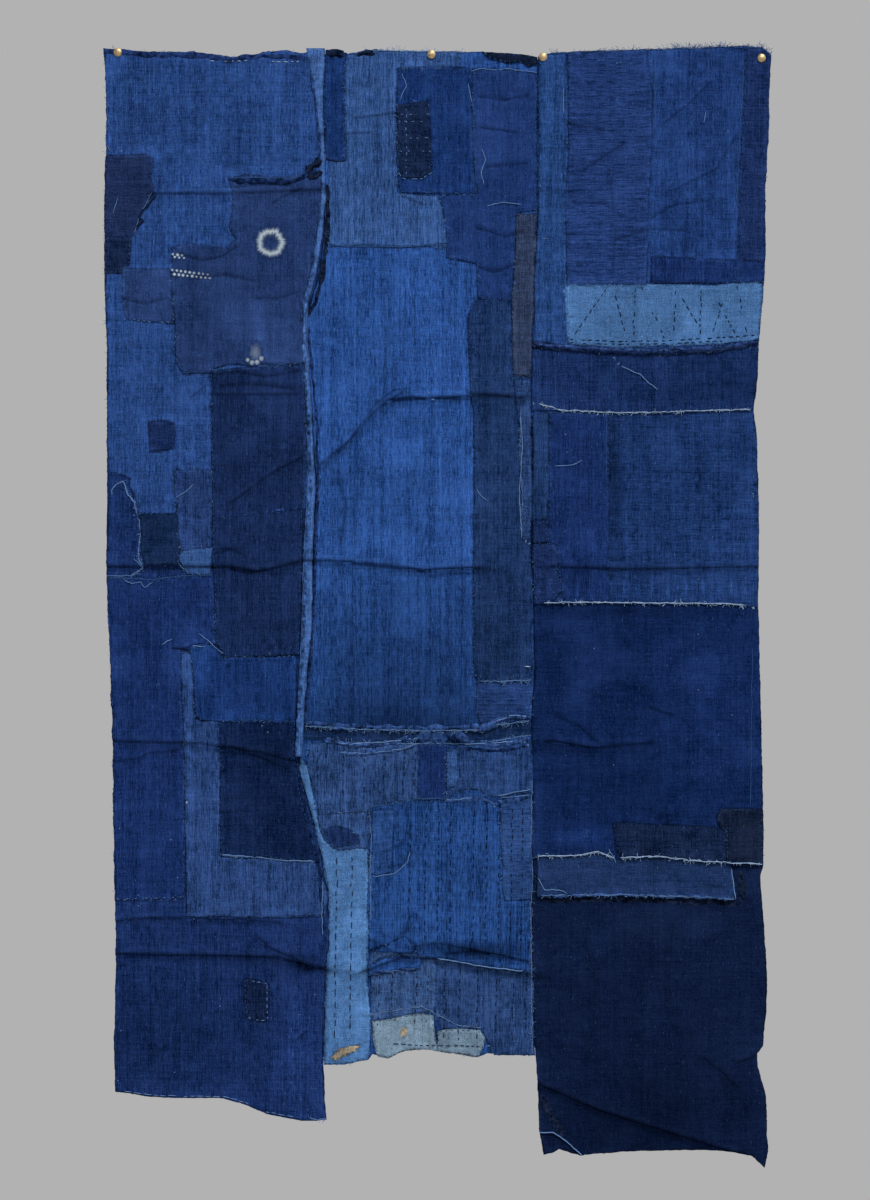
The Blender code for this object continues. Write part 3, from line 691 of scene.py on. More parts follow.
def brass_material():
    """Old brass: dull, blotched brown, and brighter where it is rubbed."""
    nodes = Nodes("worn_brass")
    at = nodes.add("TexCoord", output=3)
    blots = nodes.noise(at, 3.0)
    fine = nodes.noise(at, 0.6)
    colour = nodes.tint(blots, (0.30, 0.21, 0.11), (0.62, 0.47, 0.26))
    nodes.feed(nodes.shader.inputs["Base Color"], colour)
    nodes.shader.inputs["Metallic"].default_value = 0.85
    roughness = nodes.add("MapRange", Value=fine, To_Min=0.35, To_Max=0.6)
    nodes.feed(nodes.shader.inputs["Roughness"], roughness)
    bump = nodes.add("Bump", Height=fine, Strength=0.2, Distance=0.1 * MM)
    nodes.feed(nodes.shader.inputs["Normal"], bump)
    return nodes.material

# ---------------------------------------------------------------- mends

# The mends on each panel, drawn one by one: (name, dye, layer over the panel, outline).
MENDS = {
    "left": [
        ("left_upper", "upper_blue", 1, [(-468, 8), (-430, 5), (-400, 1.5), (-340, 1), (-310, -3),
            (-290, -6), (-265, -6), (-245, 0), (-212, 4), (-190, -1), (-163, 2), (-163, -60), (-160, -180),
            (-170, -290), (-187, -360), (-184, -450), (-180, -550), (-180, -640), (-300, -655),
            (-362, -650), (-417, -646), (-419, -634), (-424, -622), (-432, -606), (-430, -597),
            (-445, -591), (-463, -589), (-463, -450), (-466, -330), (-467, -200), (-464, -100),
            (-466, -30)]),
        ("torn_navy", "selvage_plum", 2, [(-464, -143), (-435, -143), (-410, -142), (-401, -146),
            (-400, -160), (-402, -175), (-395, -191), (-399, -200), (-408, -212), (-415, -222),
            (-418, -230), (-413, -235), (-420, -245), (-426, -256), (-450, -257), (-467, -258),
            (-467, -190)]),
        ("torn_navy_foot", "black_weave", 2, [(-467, -259), (-429, -258), (-430, -285), (-432, -298),
            (-441, -302), (-442, -309), (-467, -309)]),
        ("left_square", "slate_blue", 2, [(-442, -301), (-420, -303), (-375, -303), (-371, -330),
            (-368, -380), (-400, -378), (-436, -374), (-441, -340)]),
        ("ring_dyed", "dusk_blue", 3, [(-292, -178), (-270, -172), (-230, -176), (-200, -174), (-175, -173),
            (-160, -166), (-161, -200), (-168, -250), (-178, -310), (-187, -360), (-187, -436),
            (-220, -438), (-245, -437), (-262, -439), (-280, -437), (-295, -438), (-312, -443),
            (-318, -448), (-335, -449), (-355, -451), (-362, -442), (-366, -430), (-366, -400),
            (-368, -370), (-372, -330), (-371, -300), (-371, -275), (-360, -270), (-345, -268),
            (-325, -272), (-300, -275), (-292, -272), (-283, -262), (-290, -245), (-287, -225),
            (-285, -200)]),
        ("left_dark_length", "deep_indigo", 2, [(-317, -446), (-262, -441), (-188, -438), (-187, -455),
            (-185, -470), (-183, -540), (-187, -640), (-191, -760), (-193, -843), (-235, -845),
            (-298, -848), (-302, -838), (-309, -828), (-311, -780), (-312, -740), (-314, -700),
            (-315, -600), (-317, -500)]),
        ("plum_square", "plum_navy", 2, [(-405, -517), (-385, -515), (-368, -519), (-367, -540),
            (-368, -556), (-385, -558), (-403, -560), (-404, -540)]),
        ("dull_mend", "dull_indigo", 3, [(-368, -586), (-345, -585), (-315, -584), (-315, -640),
            (-317, -693), (-345, -697), (-357, -699), (-362, -680), (-364, -650), (-367, -610)]),
        ("pale_scrap", "faded_sky", 2, [(-357, -697), (-316, -693), (-316, -730), (-350, -730),
            (-356, -720), (-361, -711)]),
        ("dark_square", "black_teal", 3, [(-416, -646), (-390, -647), (-362, -645), (-359, -680),
            (-360, -717), (-408, -719), (-414, -700)]),
        ("left_lower_blue", "royal_navy", 1, [(-463, -734), (-430, -733), (-400, -737), (-350, -732),
            (-314, -731), (-312, -790), (-310, -828), (-345, -832), (-359, -838), (-358, -900),
            (-354, -960), (-353, -1100), (-354, -1184), (-400, -1186), (-452, -1188), (-453, -1100),
            (-455, -960), (-460, -830)]),
        ("pale_column", "pale_steel", 2, [(-359, -840), (-340, -838), (-340, -936), (-303, -936),
            (-303, -1126), (-240, -1130), (-172, -1130), (-160, -1150), (-153, -1180), (-154, -1208),
            (-250, -1211), (-350, -1208), (-352, -1100), (-354, -960), (-357, -900)]),
        ("left_blue_mend", "royal_blue", 4, [(-345, -832), (-330, -828), (-312, -831), (-300, -848),
            (-196, -845), (-197, -900), (-199, -938), (-250, -937), (-300, -937), (-330, -935),
            (-338, -930), (-341, -880)]),
        ("left_black_mend", "black_slate", 3, [(-305, -934), (-199, -936), (-199, -985), (-190, -1040),
            (-174, -1100), (-166, -1132), (-200, -1132), (-240, -1127), (-300, -1127), (-304, -1110),
            (-304, -1000)]),
        ("left_stitched_mend", "black_navy", 2, [(-270, -1297), (-250, -1300), (-236, -1303), (-235, -1320),
            (-238, -1356), (-250, -1357), (-268, -1350), (-271, -1320)]),
    ],
    "upper": [
        ("middle_head_strip", "royal_blue", 2, [(-157, 3), (-140, 4), (-126, -1), (-130, -30), (-129, -100),
            (-127, -152), (-150, -150), (-156, -148), (-158, -100), (-160, -60)]),
        ("pale_striped", "pale_stripe", 1, [(-132, 1), (-125, -1), (-113, 0), (-100, 5), (-50, 4), (0, 3),
            (32, 2), (33, -20), (-10, -22), (-54, -24), (-56, -196), (0, -200), (8, -215), (12, -240),
            (14, -262), (12, -275), (-20, -270), (-50, -273), (-100, -270), (-151, -271), (-153, -200),
            (-150, -152), (-130, -150)]),
        ("blue_block", "royal_blue", 3, [(-56, -21), (-10, -19), (40, -21), (50, -25), (48, -60),
            (50, -100), (50, -150), (55, -198), (20, -198), (-10, -196), (-52, -197), (-57, -150),
            (-57, -70)]),
        ("black_checked", "black_weave", 4, [(-57, -74), (-35, -70), (-12, -66), (-10, -90), (-7, -150),
            (-8, -168), (-22, -177), (-50, -177), (-54, -166), (-57, -120)]),
        ("dull_block", "dull_royal", 2, [(50, -22), (100, -24), (140, -28), (140, -220), (112, -224),
            (110, -260), (108, -340), (102, -348), (57, -344), (56, -296), (12, -287), (14, -262),
            (12, -240), (3, -203), (20, -197), (56, -198), (51, -150), (49, -60)]),
        ("torn_rim", "black_cloth", 3, [(62, 1.5), (90, 0), (115, -2), (140, -5), (140, -14), (128, -19),
            (115, -12), (95, -13), (75, -8)]),
        ("taupe_strip", "taupe", 4, [(111, -226), (139, -226), (137, -300), (133, -400), (131, -455),
            (106, -453), (105, -400), (104, -340), (109, -290)]),
        ("teal_length", "teal_navy", 3, [(58, -345), (100, -346), (104, -380), (106, -450), (131, -455),
            (131, -700), (133, -770), (134, -850), (132, -880), (90, -882), (60, -880), (52, -872),
            (51, -780), (52, -650), (51, -500), (47, -478), (45, -430), (43, -370), (50, -352)]),
        ("worn_mend", "worn_steel", 4, [(107, -458), (131, -457), (132, -540), (133, -640), (130, -688),
            (119, -682), (117, -560), (112, -500)]),
        ("worn_weft", "worn_weft", 1, [(56, -872), (131, -876), (132, -932), (120, -934), (100, -933),
            (80, -940), (62, -947), (54, -920)]),
    ],
    "lower": [
        ("grey_sashiko", "grey_sashiko", 1, [(-178, -968), (-150, -966), (-100, -969), (-60, -968),
            (-26, -968), (12, -968), (15, -1000), (12, -1044), (-25, -1047), (-60, -1050), (-95, -1058),
            (-96, -1064), (-150, -1066), (-165, -1068), (-172, -1030), (-181, -1000)]),
        ("navy_block", "royal_navy", 2, [(-27, -969), (-5, -968), (13, -969), (14, -1020), (12, -1046),
            (-20, -1048), (-29, -1040), (-25, -1005)]),
        ("sky_scrap", "faded_sky", 3, [(14, -976), (29, -974), (31, -1010), (28, -1026), (13, -1030)]),
        ("steel_right", "steel_blue", 1, [(28, -970), (80, -968), (133, -964), (134, -1025), (133, -1037),
            (110, -1038), (90, -1043), (70, -1041), (60, -1033), (45, -1030), (28, -1036), (13, -1044),
            (13, -1028)]),
        ("grey_scrap", "grey_sashiko", 2, [(-167, -1067), (-130, -1065), (-97, -1064), (-92, -1090),
            (-98, -1114), (-112, -1114), (-140, -1117), (-158, -1102), (-164, -1085)]),
        ("navy_scrap", "deep_indigo", 3, [(-158, -1086), (-140, -1083), (-122, -1087), (-110, -1097),
            (-109, -1108), (-128, -1111), (-146, -1114), (-155, -1101)]),
        ("sky_column", "sky_blue", 1, [(-192, -986), (-181, -1000), (-172, -1045), (-165, -1080),
            (-158, -1102), (-140, -1115), (-112, -1113), (-97, -1116), (-96, -1150), (-97, -1230),
            (-98, -1300), (-93, -1350), (-94, -1400), (-98, -1411), (-130, -1416), (-159, -1416),
            (-155, -1300), (-151, -1250), (-151, -1180), (-160, -1130), (-172, -1080), (-186, -1030),
            (-193, -1000)]),
        ("sashiko_field", "sashiko_blue", 2, [(-95, -1057), (-60, -1050), (-30, -1048), (20, -1048),
            (60, -1042), (82, -1050), (89, -1060), (91, -1100), (93, -1188), (131, -1188), (132, -1240),
            (132, -1286), (80, -1282), (40, -1275), (0, -1269), (-26, -1266), (-30, -1252), (-45, -1236),
            (-70, -1250), (-96, -1259), (-97, -1180), (-95, -1120), (-92, -1090)]),
        ("weft_bars", "steel_navy", 3, [(88, -1048), (110, -1041), (133, -1039), (134, -1090), (131, -1110),
            (134, -1150), (130, -1186), (95, -1188), (92, -1170), (90, -1100)]),
        ("pointed_mend", "field_mend", 3, [(-92, -1062), (-66, -1060), (-58, -1062), (-62, -1100),
            (-64, -1148), (-85, -1152), (-93, -1150), (-91, -1100)]),
        ("curled_scrap", "bright_ground", 3, [(-97, -1279), (-80, -1268), (-50, -1264), (-32, -1262),
            (-22, -1270), (-24, -1283), (-45, -1283), (-62, -1286), (-80, -1292), (-97, -1293)]),
        ("grey_foot", "grey_violet", 1, [(-95, -1258), (-26, -1262), (0, -1267), (-1, -1300), (-4, -1345),
            (-20, -1345), (-60, -1352), (-91, -1356), (-93, -1320)]),
        ("slate_foot", "slate_sashiko", 1, [(0, -1266), (80, -1276), (134, -1282), (135, -1350),
            (137, -1405), (80, -1404), (72, -1392), (67, -1374), (50, -1367), (5, -1367), (-4, -1352),
            (-3, -1300)]),
        ("pale_foot_left", "pale_grey", 2, [(-92, -1356), (-60, -1353), (-40, -1347), (-20, -1345),
            (-5, -1348), (-4, -1365), (0, -1398), (-20, -1395), (-50, -1400), (-68, -1409), (-84, -1405),
            (-89, -1385)]),
        ("pale_foot_right", "pale_grey", 3, [(0, -1369), (30, -1366), (60, -1368), (67, -1376), (66, -1390),
            (58, -1405), (45, -1403), (20, -1401), (0, -1398)]),
        ("tan_stain", "tan", 2, [(-149, -1406), (-138, -1395), (-122, -1390), (-106, -1389), (-114, -1397),
            (-130, -1404), (-143, -1410)]),
    ],
    "right_1": [
        ("bright_strip", "field_mend", 1, [(142, -5), (150, -1), (180, 2), (184, -60), (184, -150),
            (181, -200), (182, -320), (184, -400), (180, -416), (134, -411), (137, -300), (141, -220)]),
        ("weft_block", "slate_weft", 2, [(184, 0), (230, 3), (293, 4), (301, -60), (300, -140), (296, -200),
            (293, -326), (182, -326), (180, -200), (184, -150)]),
        ("dark_edge", "plum_navy", 1, [(433, 10), (455, 9), (468, -2), (465, -60), (463, -130), (459, -250),
            (460, -290), (457, -324), (420, -322), (423, -200), (429, -100)]),
        ("dark_band", "royal_navy", 2, [(300, -286), (370, -289), (458, -292), (457, -322), (300, -324)]),
        ("sky_mend", "sky_blue", 1, [(173, -324), (200, -321), (290, -323), (340, -325), (390, -326),
            (420, -320), (450, -319), (456, -324), (455, -360), (451, -400), (440, -404), (400, -408),
            (300, -412), (250, -414), (200, -410), (183, -406), (180, -390), (177, -350)]),
        ("selvage", "selvage_plum", 2, [(134, -404), (170, -408), (200, -413), (250, -417), (300, -416),
            (360, -414), (400, -411), (450, -403), (452, -406), (430, -414), (380, -421), (320, -424),
            (250, -423), (180, -417), (134, -412)]),
    ],
    "right_3": [
        ("third_left", "royal_navy", 1, [(158, -505), (200, -504), (241, -505), (241, -640), (240, -768),
            (178, -771), (172, -740), (168, -690), (157, -685), (157, -600)]),
        ("third_mend", "teal_navy", 2, [(134, -506), (156, -505), (157, -600), (155, -655), (133, -656),
            (134, -600)]),
        ("third_black", "deep_indigo", 3, [(134, -656), (155, -655), (154, -686), (134, -687)]),
        ("third_plum", "plum_navy", 2, [(134, -688), (165, -690), (170, -700), (168, -725), (175, -755),
            (160, -771), (136, -773)]),
    ],
    "right_4": [
        ("fourth_mend", "black_weave", 2, [(246, -1081), (260, -1079), (320, -1081), (370, -1083),
            (402, -1087), (404, -1110), (402, -1133), (375, -1133), (310, -1127), (262, -1129),
            (250, -1118), (248, -1095)]),
        ("fourth_black", "black_cloth", 3, [(396, -1060), (430, -1058), (455, -1060), (456, -1100),
            (455, -1137), (430, -1137), (404, -1134), (403, -1090), (394, -1084), (391, -1070)]),
    ],
}
Patch = namedtuple("Patch", "panel name cloth layer outline")
PATCHES = [Patch(key, *mend) for key, mends in MENDS.items() for mend in mends]

# ---------------------------------------------------------------- tones, stitches, threads and frays

# Soft light and dark areas, some of them painted shade under folds and hems: a factor at the middle that
# eases away over `wide` and `high`.
Tone = namedtuple("Tone", "panel x z wide high factor")
TONES_AND_PAINTED_SHADE = [Tone(*row) for row in (
    ("left", -440, -1380, 500, 130, 0.72),
    ("left", -200, -1390, 60, 120, 1.55),
    ("left", -350, -1235, 130, 26, 0.85),
    ("left", -240, -1180, 90, 60, 1.15),
    # painted shade below the left hem's fold
    ("left", -240, -1272, 120, 24, 0.80),
    # painted shade in the hollow under the left panel's low fold
    ("left", -225, -965, 70, 45, 0.75),
    ("left", -440, -660, 40, 90, 1.15),
    ("left", -250, -390, 12, 70, 1.5),
    ("upper", -60, -380, 150, 160, 1.12),
    ("upper", -60, -780, 300, 130, 0.78),
    ("upper", -60, -870, 300, 120, 0.62),
    ("upper", -60, -960, 300, 100, 0.27),
    ("backing", -30, -955, 600, 120, 1.45),
    ("upper", -60, -640, 300, 90, 0.92),
    ("right_3", 200, -745, 80, 30, 0.85),
    # painted shade: in the deep fold at the left hem's end, in the shadow band under the curled fold of the
    # lower panel, and beside its loops
    ("left", -185, -1275, 42, 20, 0.62),
    ("lower", 50, -1257, 130, 26, 0.30),
    ("lower", -70, -1262, 40, 12, 0.65),
    ("lower", -10, -1010, 30, 60, 0.8),
    ("upper", -100, -590, 60, 60, 0.9),
    ("lower", -125, -1240, 40, 200, 1.08),
    ("lower", 60, -1150, 90, 90, 0.92),
    ("right_2", 400, -465, 180, 80, 0.80),
    ("right_3", 248, -600, 16, 190, 0.50),
    ("right_3", 340, -752, 140, 26, 1.08),
    ("lower", -45, -1372, 7, 12, 0.6),
    ("right_4", 200, -1098, 70, 26, 1.7),
    ("right_4", 390, -900, 130, 200, 1.4),
    # painted shadow under the third hem, where it lies over the fourth length
    ("right_4", 300, -784, 260, 14, 0.75),
    ("right_5", 300, -1500, 260, 170, 0.68),
    ("right_5", 235, -1250, 45, 35, 1.25),
    ("right_5", 185, -1275, 35, 30, 1.2),
)]
# pale streaks over the third hem on the right, each at its own place across
for faded in (158, 176, 197, 262, 281, 300, 322, 347, 372, 395, 412, 431):
    TONES_AND_PAINTED_SHADE.append(Tone("right_3", faded, -754 + faded % 7, 4, 16 + faded % 11, 1.7))

# Rows of running stitches: (panel, thread, dash, gap, paths). Threads: pale, white, blue, dark.
Row = namedtuple("Row", "panel thread dash gap paths")
STITCH_ROWS = [
    Row("left", "white", 5.0, 4.5, [[(-322, -12.5), (-262, -12.5)]]),
    Row("left", "white", 5.0, 3.5, [[(-234, -13), (-185, -13)]]),
    Row("left", "pale", 4, 5, [
        [(-440, -372), (-405, -377), (-371, -378)],
        [(-265, -1299), (-238, -1304), (-237, -1354), (-250, -1356), (-268, -1349)],
    ]),
    Row("left", "pale", 3, 9, [[(-452, -1186), (-400, -1184), (-354, -1182)]]),
    Row("left", "pale", 9, 2, [[(-449, -1453), (-400, -1459), (-300, -1462), (-268, -1470), (-240, -1483),
        (-190, -1490)]]),
    Row("upper", "dark", 5, 4, [[(-30, -72), (-30, -176)]]),
    Row("upper", "pale", 4, 6, [[(-43, -75), (-43, -176)]]),
    Row("upper", "pale", 4, 7, [
        [(-56, -87), (-10, -86)],
        [(-56, -96), (-10, -96)],
        [(-56, -120), (-9, -119)],
        [(-55, -138), (-8, -138)],
    ]),
    Row("upper", "pale", 7, 2, [[(-55, -167), (-48, -177), (-22, -177), (-8, -168)]]),
]
# upright rows on the middle lower panel: (top, foot, dash, where across)
for top, foot, dash, columns in (
    (-972, -1046, 6, (-166, -130, -100, -72, -45, -30)),
    (-1056, -1262, 7, (-37, -15, 3, 20, 52, 70, 88, 105, 120)),
    (-1125, -1385, 9, (-140, -119)),
    (-1290, -1362, 5, (-80, -62, -28, -12)),
    (-1282, -1383, 7, (12, 32, 58, 84, 108, 126)),
):
    for column in columns:
        path = [(column, top), (column - 3, foot)]
        STITCH_ROWS.append(Row("lower", "dark", dash, 4 + column % 3, [path]))
STITCH_ROWS.append(Row("lower", "dark", 6, 3, [[(-80, -1387), (-20, -1390), (60, -1390)]]))
# the light-blue mend on the first right length
STITCH_ROWS.append(Row("right_1", "dark", 6.5, 3.5, [
    [(238, -330), (192, -395)],
    [(249, -340), (265, -398)],
    [(277, -330), (276, -398)],
    [(285, -327), (318, -400)],
    [(333, -332), (332, -398)],
    [(335, -332), (365, -382)],
    [(369, -333), (369, -395)],
    [(410, -325), (385, -395)],
    [(393, -348), (420, -398)],
    [(420, -325), (435, -395)],
    [(184, -402), (250, -405), (330, -404), (447, -396)],
    [(186, -406), (250, -409), (330, -408), (400, -404)],
]))

# Long threads lying loose: (panel, thread, radius, paths).
Long = namedtuple("Long", "panel thread radius paths")
LONG_THREADS = [
    Long("left", "pale", 0.5, [[(-463, -130), (-459, -138)]]),
    Long("left", "pale", 0.7, [[(-457, -620), (-456, -612), (-450, -604), (-440, -600), (-436, -615),
        (-425, -630)]]),
    Long("left", "pale", 0.5, [[(-425, -708), (-412, -722), (-430, -733), (-463, -733)]]),
    Long("left", "pale", 0.6, [
        [(-440, -738), (-428, -744), (-415, -742), (-410, -750), (-398, -742)],
        [(-366, -624), (-352, -616), (-342, -605)],
        [(-362, -715), (-357, -722), (-350, -725)],
    ]),
    Long("left", "pale", 0.7, [[(-385, -830), (-378, -824), (-370, -822)]]),
    Long("left", "dark", 0.8, [[(-372, -833), (-345, -836)]]),
    Long("left", "pale", 0.7, [[(-343, -830), (-325, -832)]]),
    Long("left", "pale", 0.6, [[(-333, -814), (-318, -826), (-300, -842)]]),
    Long("left", "pale", 0.5, [[(-448, -203), (-452, -214), (-455, -225)]]),
    Long("left", "dark", 1.4, [[(-393, -200), (-405, -213), (-413, -222), (-419, -230), (-412, -236),
        (-422, -244)]]),
    Long("left", "pale", 0.6, [
        [(-302, -1123), (-260, -1126), (-210, -1131), (-172, -1131)],
        [(-160, -1160), (-161, -1200), (-160, -1235)],
        [(-197, -985), (-190, -980), (-185, -978)],
    ]),
    Long("upper", "pale", 0.5, [[(50, -25), (62, -22), (80, -24), (100, -22), (120, -25), (140, -27)]]),
    Long("upper", "pale", 0.6, [
        [(-50, -28), (-43, -45), (-52, -65)],
        [(43, -42), (50, -75)],
    ]),
    Long("upper", "pale", 0.7, [[(62, -135), (68, -150), (61, -168), (66, -185)]]),
    Long("upper", "pale", 0.6, [[(70, -215), (90, -210), (118, -212)]]),
    Long("upper", "pale", 0.7, [[(117, -510), (119, -560), (115, -610), (118, -680)]]),
    Long("upper", "pale", 0.6, [[(55, -612), (62, -622), (70, -628)]]),
    Long("upper", "white", 0.8, [[(123, -860), (131, -860)]]),
    Long("upper", "blue", 0.5, [[(-152, -271), (-100, -270), (-50, -272), (15, -266)]]),
    Long("upper", "pale", 0.9, [[(65, -946), (80, -938), (105, -928), (130, -930)]]),
    Long("lower", "pale", 0.9, [
        [(-150, -965), (-125, -969), (-75, -966), (-25, -960)],
        [(38, -969), (60, -968), (90, -966), (120, -963)],
    ]),
    Long("lower", "pale", 0.7, [[(85, -1040), (110, -1036), (132, -1032)]]),
    Long("lower", "pale", 0.6, [
        [(90, -1043), (130, -1040)],
        [(-90, -1155), (-60, -1150), (-42, -1135), (-38, -1120)],
    ]),
    Long("lower", "pale", 0.9, [[(0, -1267), (60, -1277), (120, -1285)]]),
    Long("lower", "pale", 0.8, [[(10, -1047), (30, -1046), (50, -1043)]]),
    Long("right_1", "blue", 0.4, [
        [(430, -20), (425, -100), (418, -240)],
        [(305, -6), (304, -70), (302, -120)],
    ]),
    Long("right_1", "pale", 0.6, [
        [(177, -50), (177, -85)],
        [(376, -82), (374, -98)],
    ]),
    Long("right_2", "pale", 0.7, [[(258, -440), (285, -452), (308, -473)]]),
    Long("right_3", "pale", 0.6, [[(165, -579), (190, -578), (203, -571)]]),
    Long("right_3", "blue", 0.4, [[(237, -506), (237, -600)]]),
    Long("right_4", "blue", 0.4, [[(441, -835), (440, -940), (438, -1055)]]),
    Long("right_4", "pale", 0.6, [[(240, -1115), (246, -1126), (250, -1135)]]),
    Long("flap", "pale", 0.8, [[(411, -1143), (414, -1164), (417, -1185)]]),
    Long("flap", "pale", 0.7, [[(141, -1155), (150, -1172), (170, -1172), (182, -1178)]]),
    Long("right_5", "pale", 0.8, [[(142, -1512), (162, -1512), (178, -1522), (203, -1545)]]),
]

# White or pale frayed lines where torn edges were turned and caught down: thick thread and short fibres.
Frayed = namedtuple("Frayed", "panel thread radius reach each lean path")
FRAYED_LINES = [
    Frayed("upper", "pale", 0.5, 5, 0.7, 180, [(-90, 3), (-50, 3), (0, 2), (40, 1)]),
    Frayed("right_1", "blue", 0.4, 5, 1.0, 180, [(160, 0), (240, 3), (340, 6)]),
    Frayed("right_1", "blue", 0.4, 6, 2.6, 180, [(330, 6), (400, 9), (455, 8), (468, -1)]),
    Frayed("upper", "pale", 0.5, 5, 0.9, 0, [(-185, -943), (-120, -947), (-30, -950), (60, -949)]),
    Frayed("upper", "pale", 0.5, 5, 0.8, 0, [(80, -942), (105, -939), (130, -936)]),
    Frayed("lower", "pale", 0.5, 5, 0.8, 180, [(-150, -966), (-75, -968), (-25, -968), (60, -968),
        (130, -956)]),
    Frayed("lower", "pale", 0.6, 5, 0.8, 0, [(-135, -980), (-100, -982), (-50, -976), (-25, -967)]),
    Frayed("lower", "blue", 0.5, 5, 0.8, 0, [(-95, -1057), (-60, -1052), (-25, -1045), (50, -1044),
        (85, -1052)]),
    Frayed("lower", "pale", 0.4, 4, 0.5, 90, [(133, -1020), (131, -1110), (134, -1150), (131, -1190),
        (133, -1400)]),
    Frayed("lower", "pale", 0.4, 4, 0.5, 40, [(-95, -1060), (-92, -1100), (-94, -1150), (-93, -1215)]),
    Frayed("lower", "pale", 0.4, 4, 1.2, 0, [(-92, -1290), (-60, -1286), (-30, -1283)]),
    Frayed("lower", "pale", 0.4, 4, 1.0, 180, [(-96, -1348), (-60, -1342), (-22, -1336), (30, -1362),
        (62, -1364)]),
    Frayed("upper", "pale", 0.5, 5, 0.8, 0, [(60, -880), (90, -881), (132, -879)]),
    Frayed("upper", "blue", 0.5, 4, 0.6, 0, [(-150, -271), (-50, -272), (12, -267)]),
    Frayed("upper", "blue", 0.4, 4, 0.5, 100, [(49, -60), (53, -130), (54, -196)]),
    Frayed("upper", "pale", 0.3, 4, 0.6, 80, [(117, -500), (116, -560), (119, -620), (118, -680)]),
    Frayed("left", "pale", 0.5, 4, 1.3, 90, [(-448, -604), (-440, -600), (-434, -617), (-425, -630),
        (-420, -648)]),
    Frayed("left", "pale", 0.6, 4, 1.3, 90, [(-417, -650), (-416, -680), (-419, -705), (-412, -722),
        (-430, -735)]),
    Frayed("right_2", "white", 0.7, 3.5, 0.7, 0, [(143, -492), (175, -501), (270, -505), (345, -503),
        (440, -500)]),
    Frayed("right_3", "white", 0.9, 4, 0.9, 0, [(150, -771), (200, -770), (300, -771), (400, -772),
        (430, -774)]),
    Frayed("right_4", "white", 0.9, 4, 0.9, 0, [(141, -1125), (195, -1125), (225, -1119), (247, -1128)]),
    Frayed("right_4", "white", 0.8, 4, 0.9, 0, [(256, -1127), (310, -1125), (350, -1130), (400, -1133),
        (455, -1136)]),
    Frayed("flap", "pale", 0.5, 4, 0.6, 0, [(145, -1180), (270, -1179), (370, -1181), (414, -1185)]),
    Frayed("left", "pale", 0.4, 5, 0.4, 60, [(-400, -196), (-410, -216), (-418, -232), (-425, -254)]),
    Frayed("left", "blue", 0.5, 4, 0.5, 0, [(-463, -736), (-400, -738), (-350, -733), (-315, -731)]),
    Frayed("left", "pale", 0.4, 5, 0.8, 20, [(-178, -1490), (-165, -1492), (-154, -1490)]),
    Frayed("left", "pale", 0.4, 3, 0.5, 0, [(-302, -1124), (-260, -1127), (-210, -1131), (-172, -1131)]),
    Frayed("left", "blue", 0.4, 3, 0.4, 0, [(-290, -178), (-230, -176), (-175, -173)]),
]
